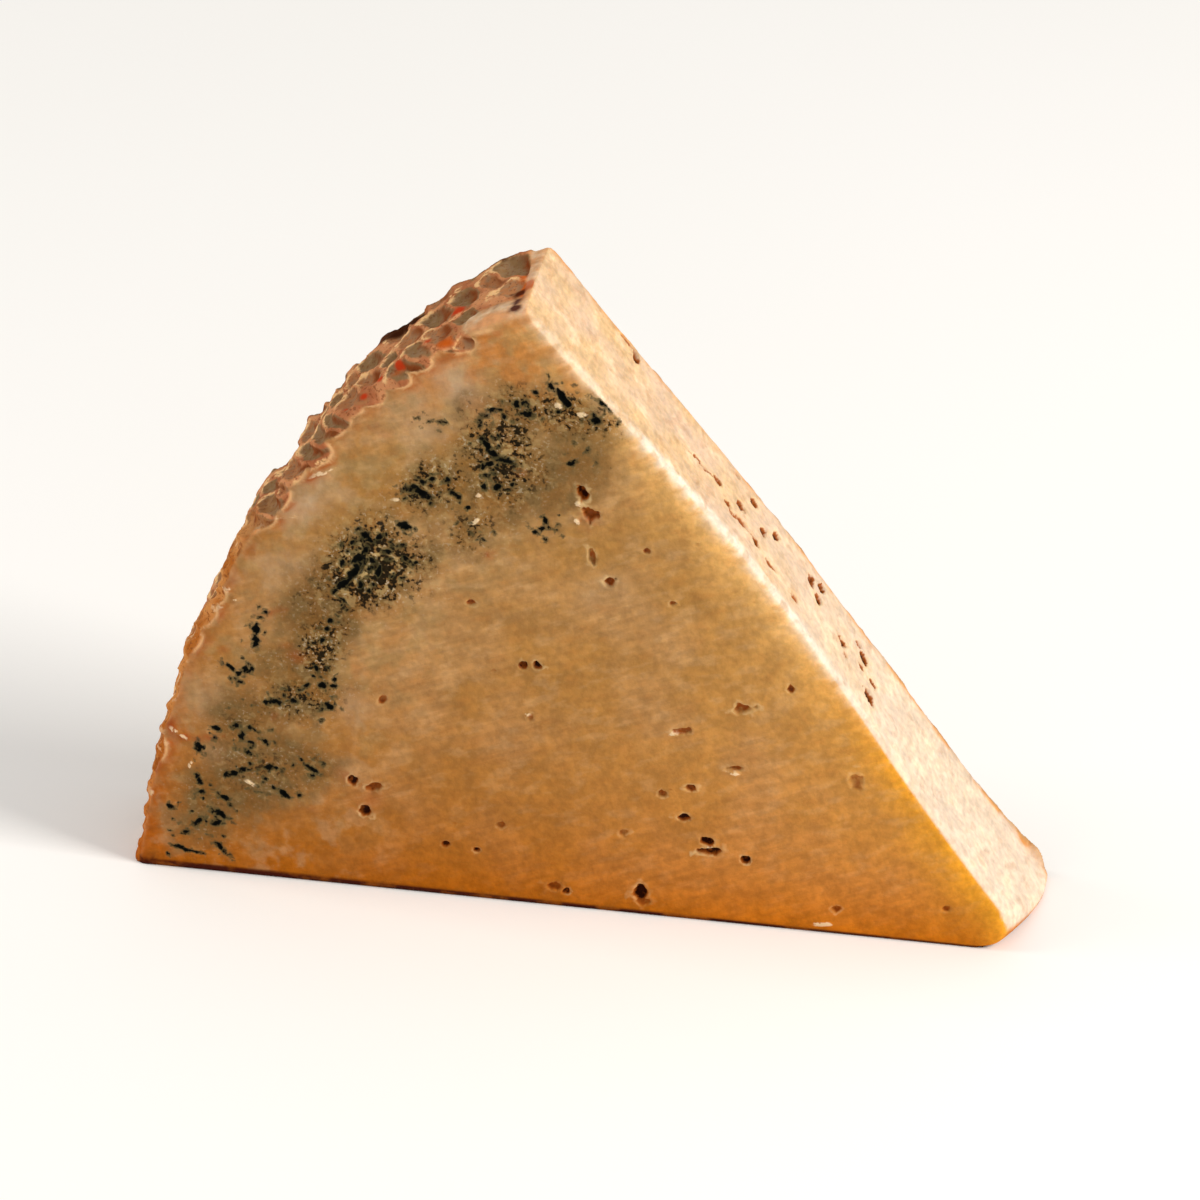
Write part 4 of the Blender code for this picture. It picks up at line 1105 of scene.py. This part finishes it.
def cheese_material():
    p = Paint("ripe_cheese")
    broad = p.noise(0.014)
    middle = p.noise(0.0045, detail=4.0, offset=3.0)
    fine = p.noise(0.0011, offset=7.0)
    finest = p.noise(0.0005, detail=2.0, offset=9.0)
    drag = p.noise(0.0009, rough=0.6, stretch=(9.0, 4.0, 1.0), offset=1.0, tilt=DRAG_TILT)
    paste = paste_colour(p, broad, middle, fine, drag)
    paste, mouldy = mould_colour(p, paste, middle, fine, finest)
    eye_lining_and_shade = p.times("eye", p.between(fine, 0.35, 0.6, 0.65, 1.25))
    paste = p.layers(paste, (
        # painted shadow under the rind's lip
        ("lip_shadow", middle, (0.42, 0.6, 0.05, 0.8), (180, 88, 20)),
        # cream line on the lip, partly painted highlight
        ("lip", middle, (0.36, 0.5, 0.3, 0.9), (240, 188, 130)),
        (1.0, "orange", (0.2, 0.7, 0.0, 0.8), (190, 84, 18)),
        (1.0, "dark_spot", (0.1, 0.6), (84, 34, 12)),
        # painted highlight round the rim of each pit
        ("eye_rim_highlight", middle, (0.4, 0.6, 0.1, 0.6), (230, 196, 142)),
        # the eyes' brown lining, darkest in the cores, where it is partly painted shade in the pits
        (1.0, eye_lining_and_shade, (0.12, 0.5), (162, 84, 24)),
        (1.0, eye_lining_and_shade, (0.42, 0.95), (58, 22, 7)),
        # painted contact shadow, dark maroon, along the base
        ("contact_shadow", middle, (0.36, 0.5, 0.5, 1.0), (70, 22, 10)),
    ))
    whole = p.mix("rind", paste, rind_colour(p, middle, fine, finest))
    whole = p.mix("flat_rind", whole, flat_rind_colour(p, broad, middle, fine))
    crusty = p.larger("rind", "flat_rind")
    smooth = p.between(middle, 0.3, 0.7, 0.42, 0.62)
    dull = p.larger(crusty, p.larger(mouldy, "low"))
    p.put(p.shader.inputs, {
        "Base Color": whole,
        "Roughness": p.larger(smooth, p.times(crusty, CRUST_ROUGHNESS)),
        "Specular IOR Level": p.between(dull, 0.0, 0.8, 0.15, 0.02),
        "Subsurface Weight": p.between(eye_lining_and_shade, 0.1, 0.5, 0.12, 0.0),
        "Subsurface Radius": SUBSURFACE_RADII,
        "Subsurface Scale": SUBSURFACE_SCALE,
        "Normal": p.bump(fine, 0.5, {"Normal": p.bump(drag, 0.3, {})}),
    })
    return p.material


def cheese():
    mesh = applied(lofted_block(), even_and_soft)
    add_relief(mesh)
    mesh = applied(mesh, fewer_triangles)
    mesh.name = "cheese"
    mesh.materials.clear()
    mesh.materials.append(cheese_material())
    mesh.shade_smooth()
    piece = bpy.data.objects.new("cheese", mesh)
    bpy.context.collection.objects.link(piece)
    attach(piece, "root")
    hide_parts("cheese_wedge")
    return piece


def floor():
    bpy.ops.mesh.primitive_plane_add(size=FLOOR_SIZE, location=(0.0, 0.0, 0.0))
    plane = bpy.context.object
    plane.name = "floor"
    p = Paint("pale_floor")
    tone = p.mix(p.between(p.noise(0.3), 0.3, 0.7), (249, 248, 246), (251, 250, 249))
    p.put(p.shader.inputs, {"Base Color": tone, "Roughness": 0.8, "Specular IOR Level": 0.1})
    plane.data.materials.append(p.material)


def area_light(name, place_at, size, power):
    data = bpy.data.lights.new(name, "AREA")
    data.size = size
    data.energy = power
    data.color = LIGHT_COLOUR
    light = bpy.data.objects.new(name, data)
    light.location = place_at
    light.rotation_euler = (LIGHT_AIM - Vector(place_at)).to_track_quat("-Z", "Y").to_euler()
    bpy.context.collection.objects.link(light)


def studio():
    world = bpy.data.worlds.new("studio")
    world.use_nodes = True
    back = world.node_tree.nodes["Background"]
    back.inputs["Color"].default_value = WORLD_COLOUR
    back.inputs["Strength"].default_value = WORLD_STRENGTH
    bpy.context.scene.world = world
    for light in LIGHTS:
        area_light(*light)


def camera():
    a, e, r = CAMERA_AZIMUTH, CAMERA_ELEVATION, CAMERA_ROLL
    level = Vector((math.cos(a), math.sin(a), 0.0))
    back = Vector((math.sin(a) * math.cos(e), -math.cos(a) * math.cos(e), math.sin(e)))
    upright = back.cross(level)
    right = level * math.cos(r) - upright * math.sin(r)
    up = level * math.sin(r) + upright * math.cos(r)
    px = MM / PICTURE_SCALE_PX_PER_MM
    middle = Vector((WHEEL_AXIS_X, FRONT_Y, 0.0)) + CENTRE_FROM_AXIS
    middle += right * (PICTURE_SIZE_PX / 2 - PICTURE_CENTRE_PX[0]) * px
    middle -= up * (PICTURE_SIZE_PX / 2 - PICTURE_CENTRE_PX[1]) * px
    data = bpy.data.cameras.new("camera")
    data.sensor_width = SENSOR_MM
    data.lens = SENSOR_MM * CAMERA_DISTANCE / (PICTURE_SIZE_PX * px)
    data.clip_start, data.clip_end = SEEN_FROM_TO
    eye = bpy.data.objects.new("camera", data)
    turn = Matrix((right, up, back)).transposed().to_4x4()
    eye.matrix_world = Matrix.Translation(middle + back * CAMERA_DISTANCE) @ turn
    bpy.context.collection.objects.link(eye)
    bpy.context.scene.camera = eye


cheese()
floor()
studio()
camera()
bpy.context.scene.view_settings.view_transform = "Standard"
